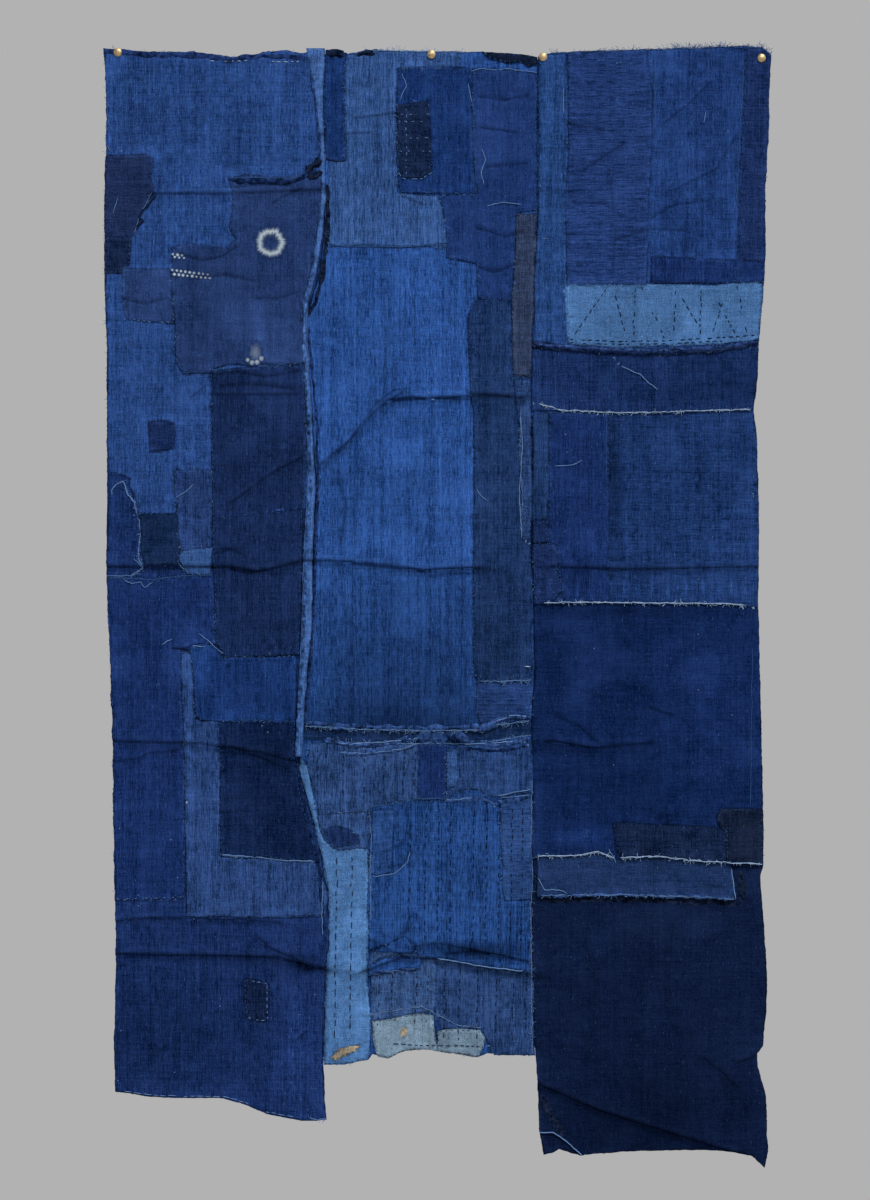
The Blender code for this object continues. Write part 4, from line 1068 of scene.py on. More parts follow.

# The crumpled edges of torn cloths, narrow rolls, and dark ribbons laid as painted shadow in hollows and
# under hems and the flap: (name, panel, dye, path, width, rise).
ROLLED_EDGES = [
    ("tear_head", "upper", "steel_blue", [(-184, -940), (-120, -944), (-30, -947), (60, -945)], 8, 1.6),
    ("tear_head_right", "upper", "worn_steel", [(58, -947), (75, -941), (95, -932), (131, -930)], 9, 2.2),
    ("tear_foot", "lower", "worn_steel", [(-158, -963), (-125, -970), (-75, -970), (-24, -958)], 8, 2.2),
    ("tear_second", "lower", "steel_blue", [(-135, -982), (-100, -983), (-50, -977), (-25, -968)], 6, 1.4),
    ("tear_middle", "lower", "teal_navy", [(-27, -957), (5, -959), (38, -957)], 21, 2.0),
    ("tear_knot", "lower", "black_slate", [(8, -952), (22, -962), (40, -968)], 7, 2.6),
    ("tear_foot_right", "lower", "worn_steel", [(30, -952), (45, -966), (90, -971), (128, -962)], 8, 2.2),
    ("tear_shadow", "lower", "black_slate", [(38, -975), (85, -977), (126, -972)], 6, 0.3),
    ("torn_across", "lower", "steel_blue", [(10, -1048), (35, -1046), (60, -1044), (80, -1052),
        (131, -1042)], 7, 1.6),
    ("ring_dyed_head", "left", "black_slate", [(-290, -180), (-240, -181), (-205, -183),
        (-168, -166)], 9, 2.0),
    ("neck_knot", "left", "black_cloth", [(-184, -168), (-176, -158), (-160, -152)], 11, 3.6),
    ("neck_knot_foot", "left", "black_cloth", [(-182, -172), (-170, -174), (-160, -166)], 9, 3.0),
    ("neck_thread", "upper", "black_navy", [(-158, -150), (-140, -152), (-128, -151)], 3, 1.0),
    ("strip_left", "strip", "slate_blue", [(-176, -30), (-165, -110), (-162, -190)], 3, 1.0),
    ("strip_head", "strip", "strip_blue", [(-168, -290), (-185, -345), (-186, -400), (-181, -500)], 4, 1.3),
    ("strip_long", "strip", "faded_sky", [(-181, -500), (-177, -600), (-183, -700), (-186, -800),
        (-196, -975)], 5, 1.3),
    # a ribbon of painted shadow in the pocket beside the strip
    ("strip_hollow", "upper", "black_cloth", [(-154, -185), (-153, -250), (-160, -310), (-170, -350),
        (-183, -369)], 7, 0.4),
    ("strip_line", "upper", "plum_navy", [(-181, -385), (-168, -520), (-167, -600), (-170, -700)], 4, 0.6),
    ("strip_fold", "upper", "plum_navy", [(-170, -700), (-176, -850), (-185, -940)], 4, 0.8),
    # a ribbon of painted shadow in the gap beside the strip's foot
    ("strip_foot_hollow", "left", "black_slate", [(-195, -1000), (-178, -1088), (-165, -1130),
        (-157, -1245)], 5, 0.5),
    ("head_bits", "upper", "black_cloth", [(-155, -1), (-140, 0), (-130, -5)], 9, 1.4),
    ("head_bits_right", "upper", "black_cloth", [(-113, -3), (-100, 1), (-86, -1)], 7, 1.2),
    ("head_hem", "left", "plum_navy", [(-466, 3), (-400, -3), (-340, -4), (-290, -11), (-245, -5),
        (-186, -6)], 8, 0.9),
    ("first_hem", "right_1", "slate_blue", [(136, -409), (200, -414), (300, -418), (400, -413),
        (450, -404)], 5, 1.5),
    ("first_hem_shadow", "right_1", "black_slate", [(136, -412), (200, -418), (300, -423),
        (450, -407)], 4, 0.4),
    ("worn_flap_foot", "flap", "steel_blue", [(143, -1180), (270, -1179), (370, -1181),
        (415, -1185)], 4, 1.0),
    ("flap_shadow", "right_5", "black_cloth", [(145, -1188), (270, -1187), (370, -1189),
        (424, -1193)], 8, 0.2),
    ("flap_end_shadow", "right_5", "black_cloth", [(424, -1146), (428, -1170), (426, -1192)], 11, 0.2),
    ("tan_spot", "lower", "tan", [(-50, -1378), (-46, -1370), (-42, -1366)], 8, 0.4),
    ("hem_roll", "lower", "deep_indigo", [(-92, -1291), (-60, -1287), (-28, -1284)], 5, 1.8),
    # a ribbon of painted shadow in the folded corner
    ("slant_hollow", "right_5", "black_cloth", [(147, -1462), (160, -1492), (178, -1518)], 12, 0.5),
]

# Small knots and lint: (panel, thread, size, places).
Flecks = namedtuple("Flecks", "panel thread size places")
FLECKS = [
    Flecks("left", "pale", 2.6, [(-420, -105), (-413, -126), (-443, -137), (-337, -184), (-425, -627),
        (-425, -648)]),
    Flecks("left", "white", 4.0, [(-350, -1050)]),
    Flecks("left", "pale", 2.4, [(-245, -943), (-237, -952), (-445, -1087), (-372, -1102), (-363, -1155)]),
    Flecks("left", "pale", 2.2, [(-333, -1118), (-280, -1126), (-277, -1132), (-418, -1180), (-418, -1195),
        (-340, -1213), (-205, -1205), (-303, -1325), (-304, -1335), (-171, -1318), (-193, -1346),
        (-367, -1427), (-447, -1440), (-443, -1370), (-190, -870)]),
    Flecks("upper", "pale", 4.0, [(-115, -265), (-12, -477), (-6, -486), (124, -685), (129, -688),
        (135, -492)]),
    Flecks("upper", "pale", 3.0, [(-10, -951), (8, -953), (24, -952), (40, -952)]),
    Flecks("lower", "pale", 4.0, [(80, -1055), (122, -966), (127, -970), (72, -1390)]),
    Flecks("right_1", "pale", 2.4, [(252, -15), (257, -14), (182, -126), (348, -73), (407, -145),
        (173, -237)]),
    Flecks("right_1", "pale", 2.6, [(150, -260), (154, -260)]),
    Flecks("right_2", "pale", 4.0, [(248, -428), (254, -436), (436, -499), (148, -492)]),
    Flecks("right_3", "pale", 2.6, [(443, -618), (443, -622), (365, -738), (180, -535), (182, -560)]),
    Flecks("right_4", "pale", 2.2, [(220, -835), (365, -815), (365, -893), (413, -928), (247, -998),
        (180, -985)]),
    Flecks("right_4", "white", 4.5, [(450, -1136), (428, -778), (443, -778)]),
]

# ---------------------------------------------------------------- sheets of cloth

extras = {}  # the threads and stitches on each panel


def closed_path(outline):
    return list(outline) + [outline[0]]


def dense(path, spacing):
    """Points about `spacing` apart along an open path, both ends kept."""
    points = []
    for (ax, az), (bx, bz) in zip(path, path[1:]):
        count = max(1, round(math.hypot(bx - ax, bz - az) / spacing))
        shares = np.arange(count) / count
        points.append(np.stack([ax + (bx - ax) * shares, az + (bz - az) * shares], axis=1))
    return np.concatenate(points + [np.array([path[-1]], float)])


def inside(outline, x, z):
    """Which of the places are inside a closed outline."""
    found = np.zeros(np.shape(x), bool)
    for (ax, az), (bx, bz) in zip(outline, closed_path(outline)[1:]):
        if az != bz:
            crosses = (az > z) != (bz > z)
            found ^= crosses & (x < ax + (bx - ax) * (z - az) / (bz - az))
    return found


def uneven_rim(outline, step, uneven):
    """Points round an outline, which wanders by `uneven`."""
    rim = dense(closed_path(outline), step * 0.9)[:-1]
    x, z = rim[:, 0], rim[:, 1]
    rim = rim + uneven * np.stack([soft_noise(x, z, 3.1, 4), soft_noise(x, z, 3.1, 5)], axis=1)
    return rim + 1.3 * uneven * np.stack([soft_noise(x, z, 17, 6), soft_noise(x, z, 17, 7)], axis=1)


def left_of(points):
    """The way to the left of a path, at each of its points."""
    ahead = np.gradient(points, axis=0)
    ahead /= np.maximum(np.hypot(*ahead.T), 1e-9)[:, None]
    return np.stack([-ahead[:, 1], ahead[:, 0]], axis=1)


def beside(path, offsets, spacing=2.4):
    """Points along a path at some distances to its left, for a mesh that has to turn sharply there."""
    points = dense(path, spacing)
    normal = left_of(points)
    return np.concatenate([points + offset * normal for offset in offsets])


def thinned(points, taken, cell):
    """The points that fall in cells of their own, clear of those that are taken."""
    used = {tuple(spot) for spot in np.floor(taken / cell).astype(int)}
    kept = []
    for point, spot in zip(points, map(tuple, np.floor(points / cell).astype(int))):
        if spot not in used:
            used.add(spot)
            kept.append(point)
    return np.array(kept).reshape(-1, 2)


def filled(rim, step, lines=()):
    """The places and triangles of a rim filled by a loose grid, closer along `lines`, which are points. The
    rim's own points come first."""
    low, high = rim.min(axis=0), rim.max(axis=0)
    columns = np.arange(low[0] + step / 2, high[0], step)
    rows = np.arange(low[1] + step / 2, high[1], step)
    grid = np.stack(np.meshgrid(columns, rows), axis=-1)
    grid[1::2, :, 0] += step / 2
    grid = grid.reshape(-1, 2)
    loop = [tuple(p) for p in rim]
    if len(lines):
        lines = lines[((lines > low) & (lines < high)).all(axis=1)]
        lines = thinned(lines, rim, 1.0)
        grid = np.concatenate([lines, thinned(grid, lines, step * 0.6)])
    grid = grid[inside(loop, grid[:, 0], grid[:, 1])]
    clear = distance_to(closed_path(loop), grid[:, 0], grid[:, 1]) > 0.8
    places = [Vector((float(px), float(pz))) for px, pz in np.concatenate([rim, grid[clear]])]
    found = delaunay_2d_cdt(places, [], [list(range(len(rim)))], 1, 1e-4)
    if len(found[0]) != len(places):
        raise ValueError("an outline crosses itself")
    return np.array([tuple(v) for v in places]), np.array([face for face in found[2] if len(face) == 3])


# where the mesh needs points on each side of a line, so that it can turn sharply there
BESIDE_GROOVE = (-2.4, -1.0, 1.0, 2.4)
BESIDE_EDGE = (-3.0, -1.4, 1.4, 3.0)
BESIDE_PATCH = (-2.2, -0.8, 0.8, 2.2)


def sharp_lines(key, layer, outline):
    """The points a cloth's mesh needs along its own edge, the grooves, and the patches over it."""
    lines = [beside(path, BESIDE_GROOVE) for path, _ in grooves()]
    lines.append(beside(closed_path(outline), BESIDE_EDGE, 3.0))
    for patch in PATCHES:
        if patch.panel == key and patch.layer > layer:
            lines.append(beside(closed_path(patch.outline), BESIDE_PATCH, 3.0))
    return np.concatenate(lines)


def mesh_object(name, verts, faces, material, paint=None, crisp=50):
    """A mesh from arrays in millimetres. `paint` gives its attributes, one value a point."""
    mesh = bpy.data.meshes.new(name)
    mesh.from_pydata((np.asarray(verts) * MM).tolist(), [], [list(face) for face in faces])
    mesh.update()
    for key, values in (paint or {}).items():
        mesh.attributes.new(key, "FLOAT", "POINT").data.foreach_set("value", np.asarray(values, np.float32))
    mesh.polygons.foreach_set("use_smooth", [True] * len(mesh.polygons))
    mesh.set_sharp_from_angle(angle=math.radians(crisp))
    mesh.materials.append(material)
    made = bpy.data.objects.new(name, mesh)
    bpy.context.scene.collection.objects.link(made)
    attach(made, "root")
    return made


def sides_of(start, count, other):
    """The faces that join one closed run of rim points to another."""
    index = np.arange(count)
    nxt = (index + 1) % count
    return np.stack([start + nxt, start + index, other + index, other + nxt], axis=1).tolist()


def faces_between(lines, count):
    """The faces of a ribbon made of some lines side by side, of `count` points each."""
    corners = [line * count + i for line in range(lines - 1) for i in range(count - 1)]
    return [(a, a + count, a + count + 1, a + 1) for a in corners]


def lift_of(key, z):
    """How far a panel's front stands out past an unlifted one's."""
    own = PANELS[key]
    heights = [place[1] for place in own.outline]
    share = np.clip((max(heights) - z) / (max(heights) - min(heights)), 0, 1)
    lifted = LAYER * (own.lift[0] + (own.lift[1] - own.lift[0]) * share)
    if key == "flap":
        lifted = lifted + FLAP_OUT * np.maximum(0.0, FLAP_TURN - z) / (FLAP_TURN - FLAP_END)
    return lifted


def wrinkles(x, z, size, turn):
    """A net of thin lines, 1 on a line and 0 between them, that runs mostly across."""
    return (1 - np.abs(soft_noise(x * 0.7 + z * 0.5, z * 1.2 - x * 0.3, size, turn))) ** 8


def puckers(x, z):
    """The crumples that hand sewing leaves: low rounded hills between sharp lines."""
    lines = 1.2 * wrinkles(x, z, 13, 19) + 0.9 * wrinkles(z, x, 9, 21)
    return 0.7 - lines + 0.4 * soft_noise(x, z, 5.5, 22)


def gathers(key, x, z):
    """The puckers that sewing leaves near every edge, the same in all the layers, and the sunken seams."""
    near = distance_within(closed_path(PANELS[key].outline), x, z, GATHER_REACH)
    sunken = SEAM_SINK * eased(1.0 - near / SEAM_SINK_REACH)
    for patch in PATCHES:
        if patch.panel == key:
            near = np.minimum(near, distance_within(closed_path(patch.outline), x, z, GATHER_REACH))
    strength = np.maximum(eased(1.0 - near / GATHER_REACH), SEWN_OVER.get(key, SEWN_ALL_OVER))
    return puckers(x, z) * strength - sunken


def front_of(key, x, z):
    """The Y of a panel's own front."""
    return -(relief(x, z) + lift_of(key, z) + gathers(key, x, z))


def tone_and_painted_shade_at(key, x, z):
    """Soft light and dark areas from their table, some of them painted shade."""
    total = np.ones_like(x)
    for tone in TONES_AND_PAINTED_SHADE:
        if tone.panel == key:
            off = np.hypot((x - tone.x) / tone.wide, (z - tone.z) / tone.high)
            total *= 1 + (tone.factor - 1) * eased(1.0 - off)
    return total


def wear_and_painted_highlight_at(x, z, edge):
    """Where threads are rubbed pale: along folds and creases, where it is also a painted highlight on their
    ridges, at edges, and here and there.
    """
    # pale along the ridges of folds and creases: wear, and a painted highlight
    ridge_wear_and_highlight = np.zeros_like(x)
    for fold in FOLDS.values():
        near = distance_within(fold.path, x, z, FOLD_RUB_AND_HIGHLIGHT)
        ridge_wear_and_highlight = np.maximum(ridge_wear_and_highlight, eased(1.0 - near / FOLD_RUB_AND_HIGHLIGHT))
    for crease in CREASES:
        if crease.rise > 0:
            near = distance_within(crease.path, x, z, CREASE_RUB_AND_HIGHLIGHT)
            ridge_wear_and_highlight = np.maximum(ridge_wear_and_highlight, 0.7 * eased(1.0 - near / CREASE_RUB_AND_HIGHLIGHT))
    patchy = 0.5 + 0.5 * soft_noise(x, z, 12, 8)
    rubbed = eased((soft_noise(x, z, 60, 9) - 0.25) / 0.6)
    frayed_edge = eased(1.0 - np.abs(edge - 1.6) / 1.8) * eased((soft_noise(x, z, 16, 30) + 0.25) / 0.6)
    return 0.45 * ridge_wear_and_highlight * patchy + 0.85 * frayed_edge * patchy + 0.2 * rubbed


def shaded(key, layer, x, z, edge):
    """The tone of a cloth: its own areas, with painted shade in grooves and puckers, at its rim and round a
    patch, and painted light on the puckers' hills.
    """
    patchy = 0.65 + 0.35 * soft_noise(x, z, 9, 17)
    # painted shade along the cloth's own rim and round each patch sewn over it
    rim = edge / RIM_SHADE
    for patch in PATCHES:
        if patch.panel == key and patch.layer > layer:
            cover = distance_within(closed_path(patch.outline), x, z, COVER_SHADE)
            rim = np.minimum(rim, cover / COVER_SHADE)
    total = tone_and_painted_shade_at(key, x, z) * (1 - RIM_LOSS * eased(1.0 - rim) * patchy)
    # painted shade in each groove: a dark line, and a soft haze round it
    for path, depth in grooves():
        near = distance_within(path, x, z, GROOVE_HAZE)
        total *= 1 - (0.48 + 0.14 * depth) * eased(1.0 - near / GROOVE_LINE) * patchy
        total *= 1 - 0.13 * depth * eased(1.0 - near / GROOVE_HAZE)
    # painted shade in the puckers' hollows, and painted light on their hills
    painted_hollow_shade_and_hill_light = 0.27 * gathers(key, x, z) + 0.09 * rumple(x, z)
    return total * np.clip(0.97 + painted_hollow_shade_and_hill_light, LEAST_TONE, MOST_TONE)


def make_panel(key):
    own = PANELS[key]
    rim = uneven_rim(own.outline, PANEL_STEP, 0.5)
    places, triangles = filled(rim, PANEL_STEP, sharp_lines(key, 0, own.outline))
    back_places, back_triangles = filled(rim, BACK_STEP)
    x, z = places[:, 0], places[:, 1]
    back_x, back_z = back_places[:, 0], back_places[:, 1]
    edge = distance_to(closed_path(own.outline), x, z)
    front = np.stack([x, front_of(key, x, z), z], 1)
    back = np.stack([back_x, front_of(key, back_x, back_z) + SHEET, back_z], 1)
    faces = triangles.tolist() + (back_triangles[:, ::-1] + len(x)).tolist()
    faces += sides_of(0, len(rim), len(x))
    paint = {
        "tone": np.concatenate([shaded(key, 0, x, z, edge), 0.85 * tone_and_painted_shade_at(key, back_x, back_z)]),
        "worn": np.concatenate([wear_and_painted_highlight_at(x, z, edge), wear_and_painted_highlight_at(back_x, back_z, back_x * 0 + 9)]),
    }
    made = mesh_object(own.node + "_cloth", np.concatenate([front, back]), faces, cloths[own.dye], paint)
    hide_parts(own.node)


def patch_rise(patch, x, z, edge):
    """How far a patch stands out past its panel: its layers, its turned-in hem, and its stitches' pull."""
    hem_roll = HEM_ROLL * eased(1.0 - np.abs(edge - HEM_ROLL_AT) / 4.2)
    hem_roll = hem_roll * (0.7 + 0.3 * soft_noise(x, z, 14, 18))
    pulls = 0.5 + 0.5 * np.sin((x + z) * 2 * math.pi / STITCH_APART + 3 * soft_noise(x, z, 20, 10))
    sewn = eased(1.0 - edge / EDGE_PULL) * (0.25 + 0.35 * pulls)
    loose = 0.25 * soft_noise(x, z * 0.5, 9, 11 + patch.layer)
    return PATCH_LIFT * patch.layer + hem_roll - sewn + loose


def make_patch(patch):
    rim = uneven_rim(patch.outline, PATCH_STEP, 0.8)
    places, triangles = filled(rim, PATCH_STEP, sharp_lines(patch.panel, patch.layer, patch.outline))
    x, z = places[:, 0], places[:, 1]
    edge = distance_to(closed_path(patch.outline), x, z)
    front = front_of(patch.panel, x, z) - patch_rise(patch, x, z, edge)
    turned = np.stack([rim[:, 0], front[: len(rim)] + PATCH_RIM, rim[:, 1]], 1)
    verts = np.concatenate([np.stack([x, front, z], 1), turned])
    faces = triangles.tolist() + sides_of(0, len(rim), len(x))
    tone, worn = shaded(patch.panel, patch.layer, x, z, edge), wear_and_painted_highlight_at(x, z, edge)
    paint = {
        # the turned-back rim of the patch gets painted shade, at 0.7 of its front's tone
        "tone": np.concatenate([tone, tone[: len(rim)] * 0.7]),
        "worn": np.concatenate([worn, worn[: len(rim)]]),
    }
    made = mesh_object("patch_" + patch.name, verts, faces, cloths[patch.cloth], paint)
    return made


# ---------------------------------------------------------------- threads

FIBRE_SHARES = np.linspace(0, 1, 5)  # the points along a loose fibre
STITCH_SHARES = np.array([0.0, 0.25, 0.75, 1.0])  # and along a stitch, which is highest at the middle two
STITCH_ARCH = [0.0, 1.3, 1.3, 0.0]  # how high they are, in thread radii


class Bundle:
    """Many threads joined into one mesh."""

    def __init__(self):
        self.verts, self.faces, self.count = [], [], 0

    def thread(self, points, radius, sides=4, flat=1.0, taper=True):
        """A tube along points (x, y, z). `flat` squashes it towards the cloth."""
        points = np.asarray(points, float)
        ahead = np.gradient(points, axis=0)
        ahead /= np.maximum(np.linalg.norm(ahead, axis=1, keepdims=True), 1e-9)
        out = np.array([0.0, -1.0, 0.0]) - ahead * (-ahead[:, 1:2])
        out /= np.maximum(np.linalg.norm(out, axis=1, keepdims=True), 1e-6)
        across_way = np.cross(ahead, out)
        width = np.full(len(points), radius)
        if taper:
            width[[0, -1]] *= THIN_TIP
        turns = 2 * math.pi * np.arange(sides) / sides
        ring = across_way[:, None] * np.cos(turns)[None, :, None]
        ring = ring + out[:, None] * np.sin(turns)[None, :, None] * flat
        verts = (points[:, None] + ring * width[:, None, None]).reshape(-1, 3)
        faces = []
        for i in range(len(points) - 1):
            for j in range(sides):
                a, b = i * sides + j, i * sides + (j + 1) % sides
                faces.append((a, b, b + sides, a + sides))
        last = (len(points) - 1) * sides
        faces += [tuple(reversed(range(sides))), tuple(range(last, last + sides))]
        self.verts.append(verts)
        self.faces += [tuple(i + self.count for i in face) for face in faces]
        self.count += len(verts)

    def object(self, name, material):
        if not self.verts:
            return None
        return mesh_object(name, np.concatenate(self.verts), self.faces, material)


def top_layer(key, x, z):
    """How many patch layers lie on a panel at each place."""
    layer = np.zeros(np.shape(x))
    for patch in PATCHES:
        if patch.panel == key:
            layer = np.where(inside(patch.outline, x, z), np.maximum(layer, patch.layer), layer)
    return layer


def surface(key, x, z):
    """Points on whatever lies uppermost on a panel."""
    y = front_of(key, x, z) - PATCH_LIFT * top_layer(key, x, z)
    return np.stack([x, y, z], axis=1)


def length_along(path):
    """A smooth copy of a path, with the distance run at each of its points."""
    points = dense(path, 2.0)
    run = np.concatenate([[0.0], np.cumsum(np.hypot(*np.diff(points, axis=0).T))])
    return points, run


def place_at(points, run, at):
    return np.interp(at, run, points[:, 0]), np.interp(at, run, points[:, 1])


def running_stitch(bundle, key, path, dash, gap, radius, chance, wander=0.5):
    """Dashes of thread along a path, each one arched over the cloth."""
    points, run = length_along(path)
    at = chance.uniform(0, gap)
    starts = []
    while at < run[-1] - dash * 0.5:
        long = dash * chance.uniform(0.55, 1.35)
        if chance.random() > MISSING_STITCHES:
            starts.append((at, min(at + long, run[-1])))
        at += long + gap * chance.uniform(0.7, 1.3)
    if not starts:
        return
    spots = np.array([[a + (b - a) * share for share in STITCH_SHARES] for a, b in starts])
    x, z = place_at(points, run, spots.ravel())
    sway = wander * np.repeat(chance.normal(0, 1, len(starts)), len(STITCH_SHARES))
    x, z = x + sway, z + 0.5 * sway
    height = 0.2 + np.tile(STITCH_ARCH, len(starts)) * radius
    lines = surface(key, x, z)
    lines[:, 1] -= height
    for line in lines.reshape(len(starts), len(STITCH_SHARES), 3):
        bundle.thread(line, radius, flat=0.7)


def loose_thread(bundle, key, path, radius, chance, proud=0.6, curl=0.8):
    """One long thread lying on the cloth, along a path, lifting and waving a little."""
    points, run = length_along(path)
    spots = np.linspace(0, run[-1], max(4, int(run[-1] / 3.0)))
    x, z = place_at(points, run, spots)
    x = x + curl * soft_noise(spots, x * 0 + chance.uniform(0, 900), 5.0, 12)
    z = z + curl * soft_noise(spots, x * 0 + chance.uniform(0, 900), 5.0, 13)
    lift = proud * (1 + soft_noise(spots, x * 0 + chance.uniform(0, 900), 9.0, 14))
    lines = surface(key, x, z)
    lines[:, 1] -= lift + radius
    bundle.thread(lines, radius, sides=5)


def frayed(bundle, key, path, reach, each, lean, chance, radius=0.32, out=1.0):
    """Short loose fibres that stand out from an edge, up to about `reach` long, and about `each` to the
    millimetre. `lean` is their angle, in degrees from straight down."""
    points, run = length_along(path)
    bare = np.random.default_rng(int(abs(path[0][1])))
    thick = np.repeat(bare.uniform(0.25, 1.25, int(run[-1] / 9) + 2), 9)
    spots = chance.uniform(0, run[-1], int(run[-1] * each))
    spots = spots[chance.uniform(0, 1, len(spots)) < thick[spots.astype(int)]]
    count = len(spots)
    if not count:
        return
    x, z = place_at(points, run, spots)
    turns = np.radians(lean + chance.normal(0, 65, count))[:, None]
    turns = turns + chance.normal(0, 2.2, count)[:, None] * FIBRE_SHARES
    steps = (reach * chance.uniform(0.3, 1.0, count) ** 1.8 * 1.9 / (len(FIBRE_SHARES) - 1))[:, None]
    dx = np.cumsum(np.sin(turns) * steps, axis=1) - np.sin(turns[:, :1]) * steps
    dz = np.cumsum(-np.cos(turns) * steps, axis=1) + np.cos(turns[:, :1]) * steps
    base = surface(key, x, z)[:, 1:2]
    y = base - radius - out * FIBRE_SHARES * chance.uniform(0.2, 1.8, (count, 1))
    for i, thickness in enumerate(radius * chance.uniform(0.6, 1.2, count)):
        bundle.thread(np.stack([x[i] + dx[i], y[i], z[i] + dz[i]], axis=1), thickness, sides=3)


SUNK_RIM = 0.4  # how far a rolled edge's own rims sink into the cloth


def rolled_edge(name, key, dye, path, width, rise):
    """The crumpled edge of a torn cloth, or a dark ribbon of painted shadow: a narrow ribbon that rolls and
    wanders along a path.
    """
    points, run = length_along(path)
    spots = np.arange(0, run[-1], 1.8)
    middle = np.stack(place_at(points, run, spots), 1)
    normal = left_of(middle)
    turn = 50 * rise + abs(path[0][0])
    wander = 1.3 * soft_noise(spots, spots * 0 + turn, 14, 23)
    half = width / 2 * (1 + 0.5 * soft_noise(spots, spots * 0 + turn * 2, 8, 24))
    half = half * np.minimum(1, 0.25 + np.minimum(spots, run[-1] - spots) / 6)
    shares = np.linspace(-1, 1, 7)
    verts = []
    for share in shares:
        x, z = (middle + normal * (wander + half * share)[:, None]).T
        crown = rise * (1 - share * share) * (1 + 0.6 * soft_noise(spots, spots * 0 + share * 7, 5, 26))
        line = surface(key, x, z)
        if abs(share) < 1:
            line[:, 1] -= np.maximum(0.1, crown + 0.5 * soft_noise(x, z, 3.2, 27) + 0.3)
        else:
            line[:, 1] += SUNK_RIM
        verts.append(line)
    faces = faces_between(len(shares), len(spots))
    grid = np.concatenate(verts)
    paint = {
        "tone": 0.90 + 0.45 * soft_noise(grid[:, 0], grid[:, 2], 4.5, 29),
        "worn": 0.15 + 0.55 * soft_noise(grid[:, 0], grid[:, 2], 3.5, 28),
    }
    made = mesh_object("rolled_edge_" + name, grid, faces, cloths[dye], paint)
    extras.setdefault(key, []).append(made)


SEAM_HALF = 6.0  # half the width of the seam allowances, by guess


def seam_backing(name, seam, top, foot):
    """The seam allowances behind two panels sewn edge to edge, a narrow strip of real cloth painted dark as
    the shade in the seam.
    """
    heights = np.arange(top, foot, -6.0)
    middle = along(seam, heights)
    shifts = (-SEAM_HALF, -2.0, 2.0, SEAM_HALF)
    verts = []
    for shift in shifts:
        x = middle + shift
        y = -(relief(x, heights) - SHEET - 0.5)
        if seam is LEFT_SEAM:
            y = y + 0.3
        verts.append(np.stack([x, y, heights], 1))
    faces = faces_between(len(shifts), len(heights))
    grid = np.concatenate(verts)
    # painted shade: the allowances are darkened to half their dye's tone
    paint = {"tone": np.full(len(grid), 0.5), "worn": np.zeros(len(grid))}
    made = mesh_object(name, grid, faces, cloths["black_navy"], paint)


DOT_APART, DOT_REACH = 6.2, 2.9  # the undyed dots: from one to the next, and how far each spreads


def resist_marks():
    """The undyed ring and rows of dots left where the cloth was tied before dyeing."""
    chance = np.random.default_rng(21)
    verts, faces, bleed, lifts = [], [], [], []

    def blot(x, z, reach, rings, spikes, tall=1.0, lift=0.45):
        """Rings of points round (x, z). `rings` gives each one's share of the reach and its paleness."""
        start = len(verts)
        turns = 2 * math.pi * np.arange(spikes) / spikes
        rough = 1 + 0.05 * chance.normal(0, 1, spikes)
        rough = rough + 0.07 * soft_noise(9 * np.cos(turns), 9 * np.sin(turns), 5, 31)
        for share, pale in rings:
            for turn, spike in zip(turns, rough):
                long = reach * share * (spike if share > 0.8 else 1 + (spike - 1) * 1.3)
                verts.append((x + long * math.cos(turn), z + tall * long * math.sin(turn)))
                bleed.append(pale)
                lifts.append(lift)
        for row in range(len(rings) - 1):
            for i in range(spikes):
                a, b = start + row * spikes + i, start + row * spikes + (i + 1) % spikes
                faces.append((a, a + spikes, b + spikes, b))

    ring = [(0.26, 0.0), (0.50, 0.18), (0.64, 0.6), (0.78, 0.95), (0.90, 0.7), (1.12, 0.0)]
    blot(-233, -267, 20, ring, 88)
    # the rows of dots: (first across, height, count, slope)
    rows = ((-370, -283, 3, -0.1), (-367, -287, 3, -0.1), (-371, -305, 9, -0.13), (-368, -311, 9, -0.11))
    for x, z, count, slope in rows:
        for i in range(count):
            at = x + DOT_APART * i + chance.normal(0, 0.3)
            fade = 1 - 0.4 * i / count
            reach = DOT_REACH * chance.uniform(0.8, 1.1)
            blot(at, z + slope * DOT_APART * i, reach, [(0.0, fade), (0.45, fade), (1.0, 0.0)], 9)
    # the four dots at the foot, under a faded smear
    for x, z, reach in ((-265, -431, 4), (-259, -435, 5), (-252, -434, 5), (-246, -429, 5)):
        blot(x, z, reach, [(0.0, 0.8), (0.5, 0.65), (1.0, 0.0)], 11)
    blot(-254, -421, 11, [(0.0, 0.5), (0.4, 0.4), (1.0, 0.0)], 24, tall=1.6, lift=0.25)
    x, z = np.array(verts).T
    patch = next(patch for patch in PATCHES if patch.name == "ring_dyed")
    edge = distance_to(closed_path(patch.outline), x, z)
    y = front_of(patch.panel, x, z) - patch_rise(patch, x, z, edge) - lifts
    grid = np.stack([x, y, z], 1)
    paint = {"tone": np.ones(len(grid)), "worn": np.zeros(len(grid)), "bleed": np.array(bleed)}
    cloth = cloth_material("cotton_resist", DYES["dusk_blue"], 5.1)
    made = mesh_object("resist_marks", grid, faces, cloth, paint)
    extras.setdefault("left", []).append(made)


def fleck(bundle, key, x, z, size, chance):
    """A small knot or bit of lint."""
    for turn in chance.uniform(0, 2 * math.pi, 3):
        step = size / 2 * np.array([math.cos(turn), math.sin(turn)])
        xs = np.array([x - step[0], x, x + step[0]])
        zs = np.array([z - step[1], z + chance.normal(0, size / 6), z + step[1]])
        line = surface(key, xs, zs)
        line[:, 1] -= np.array([0.2, 0.8, 0.2])
        bundle.thread(line, size * 0.17, sides=5)

# ---------------------------------------------------------------- making

